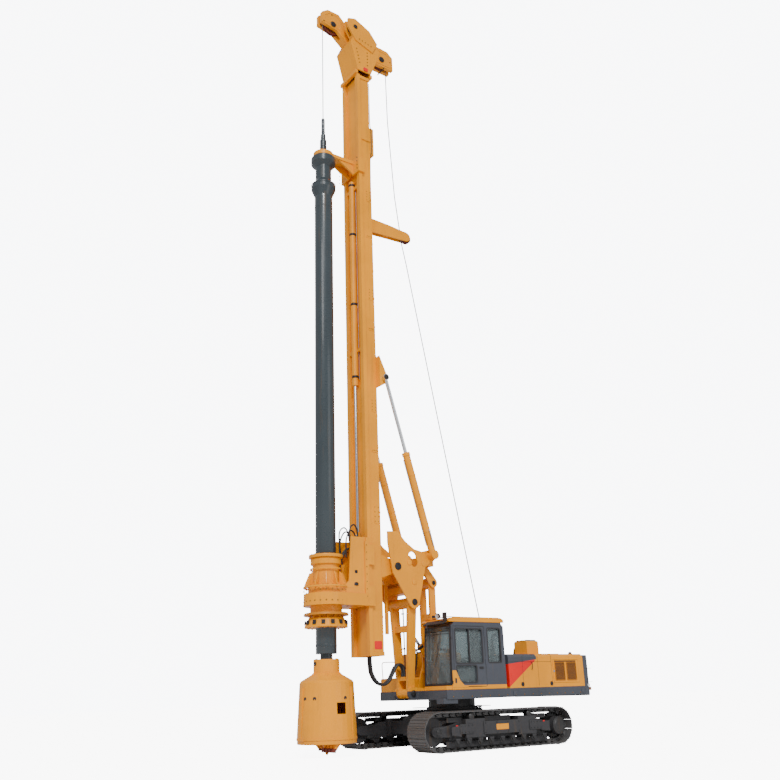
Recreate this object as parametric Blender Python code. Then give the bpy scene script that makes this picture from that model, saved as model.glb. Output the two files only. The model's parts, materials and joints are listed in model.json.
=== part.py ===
"""Rotary piling rig on extendable crawlers, in metres, +Z up.

The machine is drawn in its own coordinates: x forward, y to the left, z up, with the slewing
axis at x = 0 and the ground at z = 0. Every object is then shifted along x, so that the origin
is the bottom centre of the whole machine.
"""
from math import atan2, cos, hypot, pi, radians, sin

import bmesh
import bpy
from mathutils import Matrix, Vector

# ------------------------------------------------------------------ driving dimensions
# Running gear
TRACK_LENGTH = 4.88
TRACK_GAUGE = 3.23
TRACK_HEIGHT = 0.926
SHOE_WIDTH = 0.70
SHOE_COUNT = 50
GROUSER_HEIGHT = 0.030
SHOE_THICKNESS = 0.045
CHAIN_WIDTH = 0.22
CHAIN_DEPTH = 0.070
FRAME_WIDTH = 0.34
FRAME_BOTTOM = 0.27
FRAME_TOP = 0.66
WHEEL_WIDTH = 0.18
YOKE_WALL = 0.04
ROLLER_RADIUS = 0.11
ROLLER_COUNT = 7
CARRIER_RADIUS = 0.07
TRACK_STROKE = 0.50
BEAM_X = 0.85
BEAM_LENGTH_X = 0.50
BEAM_LOW = 0.36
BEAM_HIGH = 0.68
BEAM_REACH = 0.125
POCKET_WALL = 0.05
CARBODY_LENGTH = 2.24
CARBODY_WIDTH = 1.40
CARBODY_TOP = 0.82
CARBODY_WALL = 0.04
# Upper structure
SLEW_RADIUS = 0.62
SLEW_LOW = 0.985
DECK_LOW = 1.18
DECK_HIGH = 1.40
DECK_FRONT = 1.30
DECK_REAR = -3.60
HALF_WIDTH = 1.45
SHEET = 0.03
TAIL_DEPTH = 0.33
TAIL_TOP = 2.22
HOUSE_FRONT = -0.80
HOUSE_TOP = 2.25
HOUSE_WALL = 0.025
BAY_FRONT = -1.12
BAY_LENGTH = 0.98
BAY_HALF_WIDTH = 0.45
# Cab
CAB_FRONT = 1.12
CAB_REAR = -0.70
CAB_INNER_SIDE = 0.33
CAB_TOP = 3.04
CAB_WALL = 0.05
ROOF_THICKNESS = 0.12
GLASS = 0.006
# Kelly bar, drive and bucket
KELLY_X = 3.87
KELLY_RADIUS = 0.257
KELLY_WALL = 0.040
KELLY_LOW = 2.33
KELLY_TUBE_TOP = 15.30
KELLY_HEAD_RADIUS = 0.36
KELLY_TOP = 16.63
KELLY_PIN_RADIUS = 0.115
BUCKET_RADIUS = 0.718
BUCKET_SHOULDER_RADIUS = 0.66
BUCKET_LOW = 0.39
BUCKET_SHOULDER = 1.66
BUCKET_NECK_RADIUS = 0.32
BUCKET_TOP = 2.20
BUCKET_WALL = 0.025
FLOOR_KNUCKLE = (0.020, 0.10)
DRIVE_LOW = 3.47
DRIVE_HIGH = 3.95
DRIVE_RADIUS = 0.565
HUB_TOP = 4.72
HUB_RADIUS = 0.39
BELL_LOW = 2.95
BELL_RADIUS = 0.54
DRIVE_BORE_GAP = 0.013
# Mast
MAST_LOW = 2.26
MAST_TOP = 20.00
MAST_BACK = 2.42
MAST_RECESS = 2.77
MAST_FRONT = 2.87
MAST_HALF = 0.40
RAIL_HALF = 0.44
RAIL_WIDTH = 0.14
MAST_WALL = 0.016
CROWD_LOW = 9.53
CROWD_TOP = 16.16
CROWD_RADIUS = 0.09
CROWD_ROD_RADIUS = 0.045
CROWD_EYE = 5.30
CROWD_X = MAST_RECESS + CROWD_RADIUS + 0.002
# Head and rope sheaves
HEAD_TOP = 22.28
MAIN_SHEAVE_RADIUS = 0.30
SIDE_SHEAVE_RADIUS = 0.22
GUIDE_SHEAVE_RADIUS = 0.20
REAR_SHEAVE = (1.70, 21.25)
FRONT_SHEAVE_Z = 21.78
SIDE_SHEAVE = (2.95, 21.72)
SIDE_SHEAVE_Y = 0.41
GUIDE_SHEAVE = (0.92, 14.83)
# Linkage pins, (x, z)
BOOM_FOOT = (1.50, 1.35)
BOOM_HEAD = (1.50, 3.60)
LINK_FOOT = (0.66, 1.91)
MAST_PIN = (2.00, 4.50)
TILT_FOOT = (0.90, 4.84)
TILT_HEAD = (2.29, 9.69)
TILT_BARREL_LENGTH = 2.86
TILT_BARREL_RADIUS = 0.10
TILT_ROD_HIDDEN = 0.30
TILT_ROD_RADIUS = 0.05
LUFF_FOOT = (0.20, 1.58)
LUFF_HEAD = (1.33, 2.95)
LUFF_BARREL_LENGTH = 1.25
LUFF_BARREL_RADIUS = 0.075
LUFF_ROD_HIDDEN = 0.50
LUFF_ROD_RADIUS = 0.040
PLATE_INNER = 0.505
PLATE_WALL = 0.04
# Winch
DRUM = (-1.62, 1.86)
DRUM_RADIUS = 0.21
DRUM_FLANGE_RADIUS = 0.28
# Hoses
HOSE_RADIUS = 0.033
HOSE_SOCKET_HALF = HOSE_RADIUS + 0.006
# Clearances
SEAT = 0.0003
SLIDE = 0.0005
RUN = 0.005

# ------------------------------------------------------------------ colours
YELLOW = (0.80, 0.42, 0.015)
SLATE = (0.075, 0.095, 0.105)
DARK = (0.095, 0.105, 0.120)
BLACK = (0.020, 0.020, 0.022)
STEEL = (0.62, 0.63, 0.64)
GLAZING = (0.10, 0.13, 0.14)

# ------------------------------------------------------------------ derived places
LINK_HEAD = (LINK_FOOT[0] + BOOM_HEAD[0] - BOOM_FOOT[0], LINK_FOOT[1] + BOOM_HEAD[1] - BOOM_FOOT[1])
TAIL_X = DECK_REAR - SEAT - TAIL_DEPTH
FLOOR_PIN_X = KELLY_X + BUCKET_RADIUS + 0.002
SHIFT = Vector((-(TAIL_X + FLOOR_PIN_X + FLOOR_KNUCKLE[0]) / 2, 0, 0))
WHEEL_RADIUS = TRACK_HEIGHT / 2
WHEEL_X = TRACK_LENGTH / 2 - WHEEL_RADIUS
BORE_RADIUS = KELLY_RADIUS + DRIVE_BORE_GAP
FINISH = {
    YELLOW: (0.38, 0.0),
    SLATE: (0.42, 0.2),
    DARK: (0.45, 0.0),
    BLACK: (0.60, 0.3),
    STEEL: (0.25, 1.0),
    GLAZING: (0.05, 0.0),
}
BOOM_LEG_INNER = 0.145
BOOM_FOOT_HALF = 0.2595
LINK_INNER = 0.17
LINK_OUTER = 0.24
LUFF_EYE_HALF = 0.085
HOSE_SOCKET_X = 1.55
HOSE_SOCKET_TOP = 1.76
HOSE_Y = (-0.05, 0.05)
DOOR_FRONT = -2.42
DOOR_LENGTH = 0.98
DOOR_LOW = 1.50
DOOR_HIGH = 2.10
HOOD_FRONT = -2.42
HOOD_LENGTH = 1.02
HOOD_HALF = 0.90
HINGE_GAP = 0.012
KNUCKLE = (0.012, 0.06)
CAB_FLOOR = DECK_HIGH + SEAT
CAB_FACE_LEAN = 0.06
CAB_DOOR = (-0.02, 1.02, 1.47, 2.93)
CAB_DOOR_CHAMFER = (0.16, 0.42)
DOOR_WALL = 0.045
WINDSCREEN = (1.56, 2.06, 2.12, 2.90)
SIDE_WINDOW = (-0.56, -0.14, 2.05, 2.88)
RIGHT_WINDOW = (-0.50, 0.92, 2.05, 2.88)
REAR_WINDOW = (2.20, 2.86)
DOOR_WINDOW = (0.07, 0.94, 2.04, 2.86)
DOOR_LOW_WINDOW = (0.30, 0.94, 1.58, 1.96)
BOOM_EYE_HALF = PLATE_INNER - SLIDE
LUFF_ROD_EYE_HALF = 0.055
PROP = (1.84, 4.22)
PROP_Y = -0.27
PROP_LOW = 2.84
TILT_Y = PLATE_INNER + PLATE_WALL + RUN + TILT_BARREL_RADIUS
SLEDGE_TOP = 5.20
BELL_TOP = 3.24
ROPE_BORE = 0.030
GUIDE_RING_LOW = 16.68
SWIVEL_LOW = 16.86
SWIVEL_TOP = 18.10
FLOOR_HIGH = BUCKET_LOW - 0.001
FLOOR_LOW = 0.29
HOSE_ROUTE = (
    (2.60, 2.2597),
    (2.595, 2.10),
    (2.555, 1.86),
    (2.42, 1.66),
    (2.22, 1.58),
    (2.04, 1.66),
    (1.92, 1.83),
    (1.82, 1.99),
    (1.70, 2.07),
    (1.595, 2.02),
    (1.553, 1.90),
    (1.55, 1.7609),
)


# ------------------------------------------------------------------ shapes, as (points, faces)
def prism(outline, low, high, axis="Y"):
    """A closed outline pushed from low to high. Outline points are (x, z), (x, y) or (y, z)."""
    place = {
        "Y": lambda a, b, h: (a, h, b),
        "Z": lambda a, b, h: (a, b, h),
        "X": lambda a, b, h: (h, a, b),
    }[axis]
    count = len(outline)
    points = [place(a, b, low) for a, b in outline] + [place(a, b, high) for a, b in outline]
    faces = [tuple(range(count)), tuple(range(count, 2 * count))]
    for i in range(count):
        j = (i + 1) % count
        faces.append((i, j, count + j, count + i))
    return points, faces


def box(x0, x1, y0, y1, z0, z1):
    return prism([(x0, z0), (x1, z0), (x1, z1), (x0, z1)], y0, y1)


def loft(sections):
    """A solid through outlines of equally many 3D points."""
    count = len(sections[0])
    points = [p for section in sections for p in section]
    last = len(points) - count
    faces = [tuple(range(count)), tuple(range(last, last + count))]
    for level in range(len(sections) - 1):
        base = level * count
        for i in range(count):
            j = (i + 1) % count
            faces.append((base + i, base + j, base + count + j, base + count + i))
    return points, faces


def circle(centre, radius, count=24, start=0.0, turn=2 * pi):
    """Points on a circle, or on an arc of it with both its ends."""
    steps = count if abs(turn) >= 2 * pi else count - 1
    return [
        (
            centre[0] + radius * cos(start + turn * i / steps),
            centre[1] + radius * sin(start + turn * i / steps),
        )
        for i in range(count)
    ]


def hull(points):
    """The convex outline round a set of 2D points."""
    points = sorted(set((round(a, 6), round(b, 6)) for a, b in points))

    def chain(row):
        out = []
        for p in row:
            while len(out) > 1:
                (ax, ay), (bx, by) = out[-2], out[-1]
                if (bx - ax) * (p[1] - ay) - (by - ay) * (p[0] - ax) > 1e-9:
                    break
                out.pop()
            out.append(p)
        return out[:-1]

    return chain(points) + chain(points[::-1])


def turned(profile, centre, axis="Z", segments=32, closed=False):
    """A turned solid. The profile is (radius, height) pairs; height runs along the axis from centre.
    An open profile starts and ends on the axis by itself; a closed one is a ring's section."""
    points, rings = [], []
    rows = list(profile) if closed else [(0, profile[0][1])] + list(profile) + [(0, profile[-1][1])]
    for radius, height in rows:
        if radius == 0:
            rings.append([len(points)])
            points.append((0.0, 0.0, height))
            continue
        rings.append(list(range(len(points), len(points) + segments)))
        for i in range(segments):
            angle = 2 * pi * i / segments
            points.append((radius * cos(angle), radius * sin(angle), height))
    faces = []
    pairs = list(zip(rings, rings[1:])) + ([(rings[-1], rings[0])] if closed else [])
    for low, high in pairs:
        for i in range(segments):
            j = (i + 1) % segments
            face = [low[i % len(low)], low[j % len(low)], high[j % len(high)], high[i % len(high)]]
            faces.append(tuple(dict.fromkeys(face)))
    turn = {
        "Z": Matrix(), "Y": Matrix.Rotation(-pi / 2, 4, "X"), "X": Matrix.Rotation(pi / 2, 4, "Y")
    }[axis]
    return [tuple(turn @ Vector(p) + Vector(centre)) for p in points], faces


def disc(centre, radius, y0, y1, segments=24):
    """A round of the given radius across the machine, from y0 to y1, at centre (x, z)."""
    return prism(circle(centre, radius, segments), y0, y1)


def rod(start, end, radius, segments=16, bore=0.0, bore_from=0.0):
    """A round bar from start to end. A bore opens at its end and starts bore_from along it."""
    start, end = Vector(start), Vector(end)
    length = (end - start).length
    if bore:
        profile = [(radius, 0), (radius, length), (bore, length), (bore, bore_from)]
    else:
        profile = [(radius, 0), (radius, length)]
    points, faces = turned(profile, (0, 0, 0), segments=segments)
    turn = Vector((0, 0, 1)).rotation_difference(end - start).to_matrix()
    return [tuple(turn @ Vector(p) + start) for p in points], faces


def both_sides(y0, y1, make):
    """The shape that make(y0, y1) gives, and its mirror across y = 0."""
    return [make(y0, y1), make(-y1, -y0)]


def bore_for(radius, segments):
    """The radius of a faceted bore in which a shaft of this radius turns freely."""
    return (radius + SLIDE) / cos(pi / segments)


def hinge(axis, pivot, places, radius, length):
    """Knuckles along a hinge's axis: the leaf's, its clearances, the frame's, and its clearances."""
    gap = SLIDE
    half = length / 2
    segments = 10
    room = bore_for(radius, segments)

    def round_bar(middle, low, high, size):
        ends = []
        for height in (low, high):
            centre = list(pivot)
            centre["XYZ".index(axis)] = middle + height
            ends.append(centre)
        return rod(ends[0], ends[1], size, segments)

    leaf, leaf_cuts, frame, frame_cuts = [], [], [], []
    for middle in places:
        leaf.append(round_bar(middle, -half, half, radius))
        frame_cuts.append(round_bar(middle, -half - gap / 2, half + gap / 2, room))
        for sign in (-1, 1):
            near, far = sign * (half + gap), sign * (half + length)
            frame.append(round_bar(middle, near, far, radius))
            leaf_cuts.append(round_bar(middle, near - sign * gap / 2, far + sign * gap, room))
    return leaf, leaf_cuts, frame, frame_cuts


# ------------------------------------------------------------------ objects
def material(name, colour, roughness, metallic):
    made = bpy.data.materials.get(name)
    if made:
        return made
    made = bpy.data.materials.new(name)
    made.use_nodes = True
    shader = made.node_tree.nodes["Principled BSDF"]
    shader.inputs["Base Color"].default_value = (*colour, 1.0)
    shader.inputs["Roughness"].default_value = roughness
    shader.inputs["Metallic"].default_value = metallic
    return made


def raw_object(name, shape):
    points, faces = shape
    mesh = bpy.data.meshes.new(name)
    work = bmesh.new()
    corners = [work.verts.new(p) for p in points]
    for face in faces:
        work.faces.new([corners[i] for i in face])
    bmesh.ops.recalc_face_normals(work, faces=work.faces)
    work.to_mesh(mesh)
    work.free()
    made = bpy.data.objects.new(name, mesh)
    bpy.context.scene.collection.objects.link(made)
    return made


def solid(name, colour, adds, cuts=(), then=(), pivot=(0, 0, 0)):
    """One closed body: the adds joined, less the cuts, then more joined, with its origin on pivot."""
    made = raw_object(name, adds[0])
    tools = []
    for operation, shapes in (("UNION", adds[1:]), ("DIFFERENCE", cuts), ("UNION", then)):
        for shape in shapes:
            tool = raw_object(name + ".tool", shape)
            step = made.modifiers.new(operation, "BOOLEAN")
            step.operation = operation
            step.solver = "EXACT"
            step.object = tool
            tools.append(tool)
    if tools:
        bpy.context.view_layer.update()
        shaped = made.evaluated_get(bpy.context.evaluated_depsgraph_get())
        mesh = bpy.data.meshes.new_from_object(shaped)
        made.modifiers.clear()
        made.data = mesh
        mesh.name = name
    for tool in tools:
        bpy.data.objects.remove(tool)
    work = bmesh.new()
    work.from_mesh(made.data)
    bmesh.ops.remove_doubles(work, verts=work.verts, dist=2e-5)
    bmesh.ops.triangulate(work, faces=work.faces)
    work.to_mesh(made.data)
    work.free()
    pivot = Vector(pivot)
    made.data.transform(Matrix.Translation(-pivot))
    made.location = pivot
    made.parent = MACHINE
    roughness, metallic = FINISH[colour]
    made.data.materials.clear()
    made.data.materials.append(material(name + "_finish", colour, roughness, metallic))
    made.data.shade_smooth()
    made.data.set_sharp_from_angle(angle=radians(32))
    return made


def at(pin, y=0.0):
    return (pin[0], y, pin[1])


# ------------------------------------------------------------------ running gear
def belt_point(distance, radius):
    """A point at this radius on a track's outline, at a distance along the outer run."""
    straight = 2 * WHEEL_X
    arc = pi * WHEEL_RADIUS
    distance %= 2 * (straight + arc)
    if distance < straight:
        return (-WHEEL_X + distance, WHEEL_RADIUS - radius)
    distance -= straight
    if distance < arc:
        angle = -pi / 2 + distance / WHEEL_RADIUS
        return (WHEEL_X + radius * cos(angle), WHEEL_RADIUS + radius * sin(angle))
    distance -= arc
    if distance < straight:
        return (WHEEL_X - distance, WHEEL_RADIUS + radius)
    angle = pi / 2 + (distance - straight) / WHEEL_RADIUS
    return (-WHEEL_X + radius * cos(angle), WHEEL_RADIUS + radius * sin(angle))


def stadium(radius, count=17):
    """A track-shaped outline with round ends."""
    front = circle((WHEEL_X, WHEEL_RADIUS), radius, count, -pi / 2, pi)
    rear = circle((-WHEEL_X, WHEEL_RADIUS), radius, count, pi / 2, pi)
    return front + rear


def track(side):
    name = ("left" if side > 0 else "right") + "_track"
    middle = side * TRACK_GAUGE / 2
    crest = WHEEL_RADIUS
    valley = crest - GROUSER_HEIGHT
    shoe_inner = valley - SHOE_THICKNESS
    chain_inner = shoe_inner - CHAIN_DEPTH
    pitch = 2 * (2 * WHEEL_X + pi * WHEEL_RADIUS) / SHOE_COUNT
    outline = []
    for i in range(SHOE_COUNT):
        for share, radius in ((0.06, valley), (0.62, valley), (0.70, crest), (0.98, crest)):
            outline.append(belt_point((i + share) * pitch, radius))
    wide = SHOE_WIDTH / 2
    narrow = CHAIN_WIDTH / 2
    lap = 0.01
    solid(
        name,
        BLACK,
        [prism(outline, middle - wide, middle + wide)],
        [
            prism(stadium(chain_inner), middle - wide - lap, middle + wide + lap),
            prism(stadium(shoe_inner), middle + narrow, middle + wide + lap),
            prism(stadium(shoe_inner), middle - wide - lap, middle - narrow),
        ],
    )
    return chain_inner


def idler_and_sprocket(side, chain_inner):
    prefix = "left" if side > 0 else "right"
    middle = side * TRACK_GAUGE / 2
    hub = WHEEL_WIDTH / 2 + YOKE_WALL - SEAT
    rim = WHEEL_WIDTH / 2
    idler_centre = (WHEEL_X, WHEEL_RADIUS)
    tyre = prism(circle(idler_centre, chain_inner - SEAT, 32), middle - rim, middle + rim)
    solid(
        prefix + "_idler",
        BLACK,
        [tyre, disc(idler_centre, 0.10, middle - hub, middle + hub)],
        pivot=at(idler_centre, middle),
    )
    drive_centre = (-WHEEL_X, WHEEL_RADIUS)
    teeth = []
    count = 20
    tip = chain_inner - RUN
    root = tip - 0.045
    for i in range(count):
        for share, radius in ((0.0, root), (0.30, root), (0.42, tip), (0.88, tip)):
            angle = 2 * pi * (i + share) / count
            teeth.append((drive_centre[0] + radius * cos(angle), drive_centre[1] + radius * sin(angle)))
    solid(
        prefix + "_sprocket",
        BLACK,
        [prism(teeth, middle - 0.05, middle + 0.05), disc(drive_centre, 0.20, middle - hub, middle + hub)],
        pivot=at(drive_centre, middle),
    )


def track_frame(side, chain_inner):
    name = ("left" if side > 0 else "right") + "_track_frame"
    middle = side * TRACK_GAUGE / 2
    half = FRAME_WIDTH / 2
    inside = WHEEL_WIDTH / 2 + YOKE_WALL
    body_end = WHEEL_X - 0.42
    outline = [
        (-body_end, FRAME_BOTTOM),
        (body_end, FRAME_BOTTOM),
        (body_end, FRAME_TOP - 0.06),
        (body_end - 0.25, FRAME_TOP),
        (-body_end + 0.25, FRAME_TOP),
        (-body_end, FRAME_TOP - 0.06),
    ]
    adds = [prism(outline, middle - half, middle + half)]
    for end in (1, -1):
        centre = (end * WHEEL_X, WHEEL_RADIUS)
        arm = hull(circle(centre, 0.11) + [(end * (body_end - 0.1), 0.33), (end * (body_end - 0.1), 0.60)])
        adds.append(prism(arm, middle + inside, middle + half + YOKE_WALL / 2))
        adds.append(prism(arm, middle - half - YOKE_WALL / 2, middle - inside))
    drive_centre = (-WHEEL_X, WHEEL_RADIUS)
    adds.append(disc(drive_centre, 0.22, middle + inside + 0.01, middle + inside + 0.15))
    adds.append(disc(drive_centre, 0.20, middle - inside - 0.17, middle - inside - 0.01))
    lower_run = WHEEL_RADIUS - chain_inner
    upper_run = WHEEL_RADIUS + chain_inner
    span = 2 * (body_end - ROLLER_RADIUS)
    for i in range(ROLLER_COUNT):
        x = -span / 2 + span * i / (ROLLER_COUNT - 1)
        adds.append(
            disc((x, lower_run + SEAT + ROLLER_RADIUS), ROLLER_RADIUS, middle - 0.14, middle + 0.14, 16)
        )
    for x in (-1.30, 0.0, 1.30):
        adds.append(
            disc((x, upper_run - SEAT - CARRIER_RADIUS), CARRIER_RADIUS, middle - 0.10, middle + 0.10, 16)
        )
    inner = SHOE_WIDTH / 2 - RUN
    outer = SHOE_WIDTH / 2 - 0.035
    length = BEAM_LENGTH_X / 2
    cuts = []
    for x in (-BEAM_X, BEAM_X):
        wall = length + RUN + POCKET_WALL
        y0, y1 = sorted((middle - side * inner, middle + side * outer))
        adds.append(
            box(x - wall, x + wall, y0, y1, BEAM_LOW - SLIDE - POCKET_WALL, BEAM_HIGH + SLIDE + POCKET_WALL)
        )
        y0, y1 = sorted((middle - side * (inner + 0.1), middle + side * (outer - SHEET)))
        room = length + RUN
        cuts.append(box(x - room, x + room, y0, y1, BEAM_LOW - SLIDE, BEAM_HIGH + SLIDE))
    solid(name, DARK, adds, cuts)


def carbody():
    half_x = CARBODY_LENGTH / 2
    half_y = CARBODY_WIDTH / 2
    low = BEAM_LOW - 0.04
    outline = [
        (-half_x, low),
        (half_x, low),
        (half_x, CARBODY_TOP - 0.10),
        (half_x - 0.20, CARBODY_TOP),
        (-half_x + 0.20, CARBODY_TOP),
        (-half_x, CARBODY_TOP - 0.10),
    ]
    reach = TRACK_GAUGE / 2 - SHOE_WIDTH / 2 + RUN + BEAM_REACH
    pedestal = turned(
        [
            (SLEW_RADIUS + 0.22, CARBODY_TOP - 0.05),
            (SLEW_RADIUS + 0.06, SLEW_LOW - 0.06),
            (SLEW_RADIUS + 0.06, SLEW_LOW),
        ],
        (0, 0, 0),
        segments=32,
    )
    adds = [prism(outline, -half_y, half_y), pedestal]
    wall = CARBODY_WALL
    cuts = [
        box(-half_x + wall, half_x - wall, -half_y + wall, half_y - wall, low - 0.1, CARBODY_TOP - 0.12),
        turned([(SLEW_RADIUS - 0.06, low - 0.1), (SLEW_RADIUS - 0.06, SLEW_LOW - wall)], (0, 0, 0)),
    ]
    for x in (-BEAM_X, BEAM_X):
        half = BEAM_LENGTH_X / 2
        adds.append(box(x - half, x + half, -reach, reach, BEAM_LOW, BEAM_HIGH))
        bore = half - wall
        cuts.append(box(x - bore, x + bore, -reach - 0.1, reach + 0.1, BEAM_LOW + wall, BEAM_HIGH - wall))
    solid("carbody", DARK, adds, cuts)


# ------------------------------------------------------------------ upper structure
def deck():
    inner = 0.62
    bay_roof = DECK_HIGH - SHEET
    adds = [box(DECK_REAR, DECK_FRONT, -HALF_WIDTH, HALF_WIDTH, DECK_LOW, DECK_HIGH)]
    cuts = []
    for y0, y1 in ((inner, HALF_WIDTH - SHEET), (-HALF_WIDTH + SHEET, -inner)):
        cuts.append(box(DECK_REAR + SHEET, DECK_FRONT - SHEET, y0, y1, DECK_LOW - 0.1, bay_roof))
    cuts.append(
        box(DECK_REAR + SHEET, -SLEW_RADIUS - 0.1, -inner + 0.06, inner - 0.06, DECK_LOW - 0.1, bay_roof)
    )
    foot_base = [(DECK_FRONT - 0.35, DECK_LOW + 0.02), (DECK_FRONT - 0.35, DECK_HIGH + 0.06)]
    foot = hull(circle(BOOM_FOOT, 0.15) + foot_base)
    link = hull(
        circle(LINK_FOOT, 0.11) + [
            (LINK_FOOT[0] - 0.26, DECK_HIGH - 0.01), (LINK_FOOT[0] + 0.26, DECK_HIGH - 0.01)
        ]
    )
    luff = hull(
        circle(LUFF_FOOT, 0.09) + [
            (LUFF_FOOT[0] - 0.2, DECK_HIGH - 0.01), (LUFF_FOOT[0] + 0.22, DECK_HIGH - 0.01)
        ]
    )
    for outline, y0, y1 in (
        (foot, BOOM_FOOT_HALF + SLIDE, CAB_INNER_SIDE - 0.01),
        (link, LINK_OUTER + SLIDE, LINK_OUTER + 0.05),
        (luff, LUFF_EYE_HALF + SLIDE, LUFF_EYE_HALF + 0.05),
    ):
        adds += both_sides(y0, y1, lambda a, b, o=outline: prism(o, a, b))
    # Bulkhead shelf that takes the hoses from the mast's foot.
    shelf_z = HOSE_SOCKET_TOP - 0.06
    half = BOOM_LEG_INNER - 0.02
    adds.append(box(DECK_FRONT - 0.03, DECK_FRONT + 0.01, -half, half, DECK_HIGH - 0.02, shelf_z))
    adds.append(box(DECK_FRONT - 0.03, HOSE_SOCKET_X + 0.04, -half, half, shelf_z - 0.04, shelf_z))
    for y in HOSE_Y:
        adds.append(
            box(
                HOSE_SOCKET_X - HOSE_SOCKET_HALF,
                HOSE_SOCKET_X + HOSE_SOCKET_HALF,
                y - HOSE_SOCKET_HALF,
                y + HOSE_SOCKET_HALF,
                shelf_z - 0.01,
                HOSE_SOCKET_TOP,
            )
        )
    # Left step guard below the cab's front corner.
    adds.append(
        box(
            DECK_FRONT - 0.35,
            DECK_FRONT + 0.10,
            HALF_WIDTH - 0.30,
            HALF_WIDTH - 0.02,
            DECK_LOW - 0.10,
            DECK_LOW + 0.03,
        )
    )
    solid("deck", DARK, adds, cuts)


def slew_ring():
    solid(
        "slew_ring",
        BLACK,
        [turned([(SLEW_RADIUS, SLEW_LOW + SEAT), (SLEW_RADIUS, DECK_LOW - SEAT)], (0, 0, 0), segments=32)],
    )


def shell(x0, x1, y0, y1, z0, z1, wall, chamfer):
    """Outer and inner solids of a cover that is open below, with its long top edges cut off."""
    outer = [
        (y0, z0), (y1, z0), (y1, z1 - chamfer), (y1 - chamfer, z1), (y0 + chamfer, z1), (y0, z1 - chamfer)
    ]
    inner = [
        (y0 + wall, z0 - 0.1),
        (y1 - wall, z0 - 0.1),
        (y1 - wall, z1 - chamfer - wall / 2),
        (y1 - chamfer - wall / 2, z1 - wall),
        (y0 + chamfer + wall / 2, z1 - wall),
        (y0 + wall, z1 - chamfer - wall / 2),
    ]
    return prism(outer, x0, x1, "X"), prism(inner, x0 + wall, x1 - wall, "X")


def service_hinge(side):
    axis_y = side * (HALF_WIDTH + HINGE_GAP / 2)
    return hinge("Z", (DOOR_FRONT, axis_y, 0), (DOOR_LOW + 0.14, DOOR_HIGH - 0.14), *KNUCKLE)


def hood_hinge():
    return hinge("Y", (HOOD_FRONT - HOOD_LENGTH, 0, HOUSE_TOP + HINGE_GAP / 2), (-0.6, 0.6), *KNUCKLE)


def cab_hinge():
    return hinge("Z", (CAB_DOOR[0], HALF_WIDTH + HINGE_GAP / 2, 0), (2.10, 2.78), *KNUCKLE)


def engine_house():
    floor = DECK_HIGH + SEAT
    outer, inner = shell(
        DECK_REAR, HOUSE_FRONT, -HALF_WIDTH, HALF_WIDTH, floor, HOUSE_TOP, HOUSE_WALL, 0.07
    )
    door_rear = DOOR_FRONT - DOOR_LENGTH
    cuts = [
        inner,
        box(
            BAY_FRONT - BAY_LENGTH,
            BAY_FRONT,
            -BAY_HALF_WIDTH,
            BAY_HALF_WIDTH,
            HOUSE_TOP - 0.2,
            HOUSE_TOP + 0.1,
        ),
        box(HOOD_FRONT - HOOD_LENGTH, HOOD_FRONT, -HOOD_HALF, HOOD_HALF, HOUSE_TOP - 0.1, HOUSE_TOP + 0.1),
        box(door_rear, DOOR_FRONT, HALF_WIDTH - 0.1, HALF_WIDTH + 0.1, DOOR_LOW, DOOR_HIGH),
        box(door_rear, DOOR_FRONT, -HALF_WIDTH - 0.1, -HALF_WIDTH + 0.1, DOOR_LOW, DOOR_HIGH),
    ]
    knuckles = []
    for leaf, leaf_cuts, frame, frame_cuts in (service_hinge(1), service_hinge(-1), hood_hinge()):
        knuckles += frame
        cuts += frame_cuts
    solid("engine_house", YELLOW, [outer], cuts, knuckles)


def service_doors():
    for side, name in ((1, "left_service_door"), (-1, "right_service_door")):
        y0, y1 = sorted((side * HALF_WIDTH, side * (HALF_WIDTH - HOUSE_WALL)))
        x0 = DOOR_FRONT - DOOR_LENGTH + RUN
        leaf, leaf_cuts, frame, frame_cuts = service_hinge(side)
        solid(
            name,
            YELLOW,
            [box(x0, DOOR_FRONT - RUN, y0, y1, DOOR_LOW + RUN, DOOR_HIGH - RUN)],
            leaf_cuts,
            leaf,
            pivot=(DOOR_FRONT, side * (HALF_WIDTH + HINGE_GAP / 2), (DOOR_LOW + DOOR_HIGH) / 2),
        )
    x0 = HOOD_FRONT - HOOD_LENGTH
    leaf, leaf_cuts, frame, frame_cuts = hood_hinge()
    solid(
        "engine_hood",
        YELLOW,
        [
            box(
                x0 + RUN,
                HOOD_FRONT - RUN,
                -HOOD_HALF + RUN,
                HOOD_HALF - RUN,
                HOUSE_TOP - HOUSE_WALL,
                HOUSE_TOP,
            )
        ],
        leaf_cuts,
        leaf,
        pivot=(x0, 0, HOUSE_TOP + HINGE_GAP / 2),
    )


def counterweight():
    front = DECK_REAR - SEAT
    corner = 0.16
    outline = [
        (front, -HALF_WIDTH),
        (front, HALF_WIDTH),
        (TAIL_X + corner, HALF_WIDTH),
        (TAIL_X, HALF_WIDTH - corner),
        (TAIL_X, -HALF_WIDTH + corner),
        (TAIL_X + corner, -HALF_WIDTH),
    ]
    made = solid("counterweight", DARK, [prism(outline, DECK_LOW - 0.03, TAIL_TOP, "Z")])
    bevel = made.modifiers.new("edge", "BEVEL")
    bevel.width = 0.025
    bevel.segments = 2
    bevel.limit_method = "ANGLE"


def engine():
    solid(
        "engine_block",
        DARK,
        [
            box(-3.30, -2.45, -0.30, 0.30, DECK_HIGH + SEAT, 2.02),
            box(-2.46, -2.20, -0.22, 0.22, DECK_HIGH + SEAT, 1.85),
        ],
    )


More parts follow.
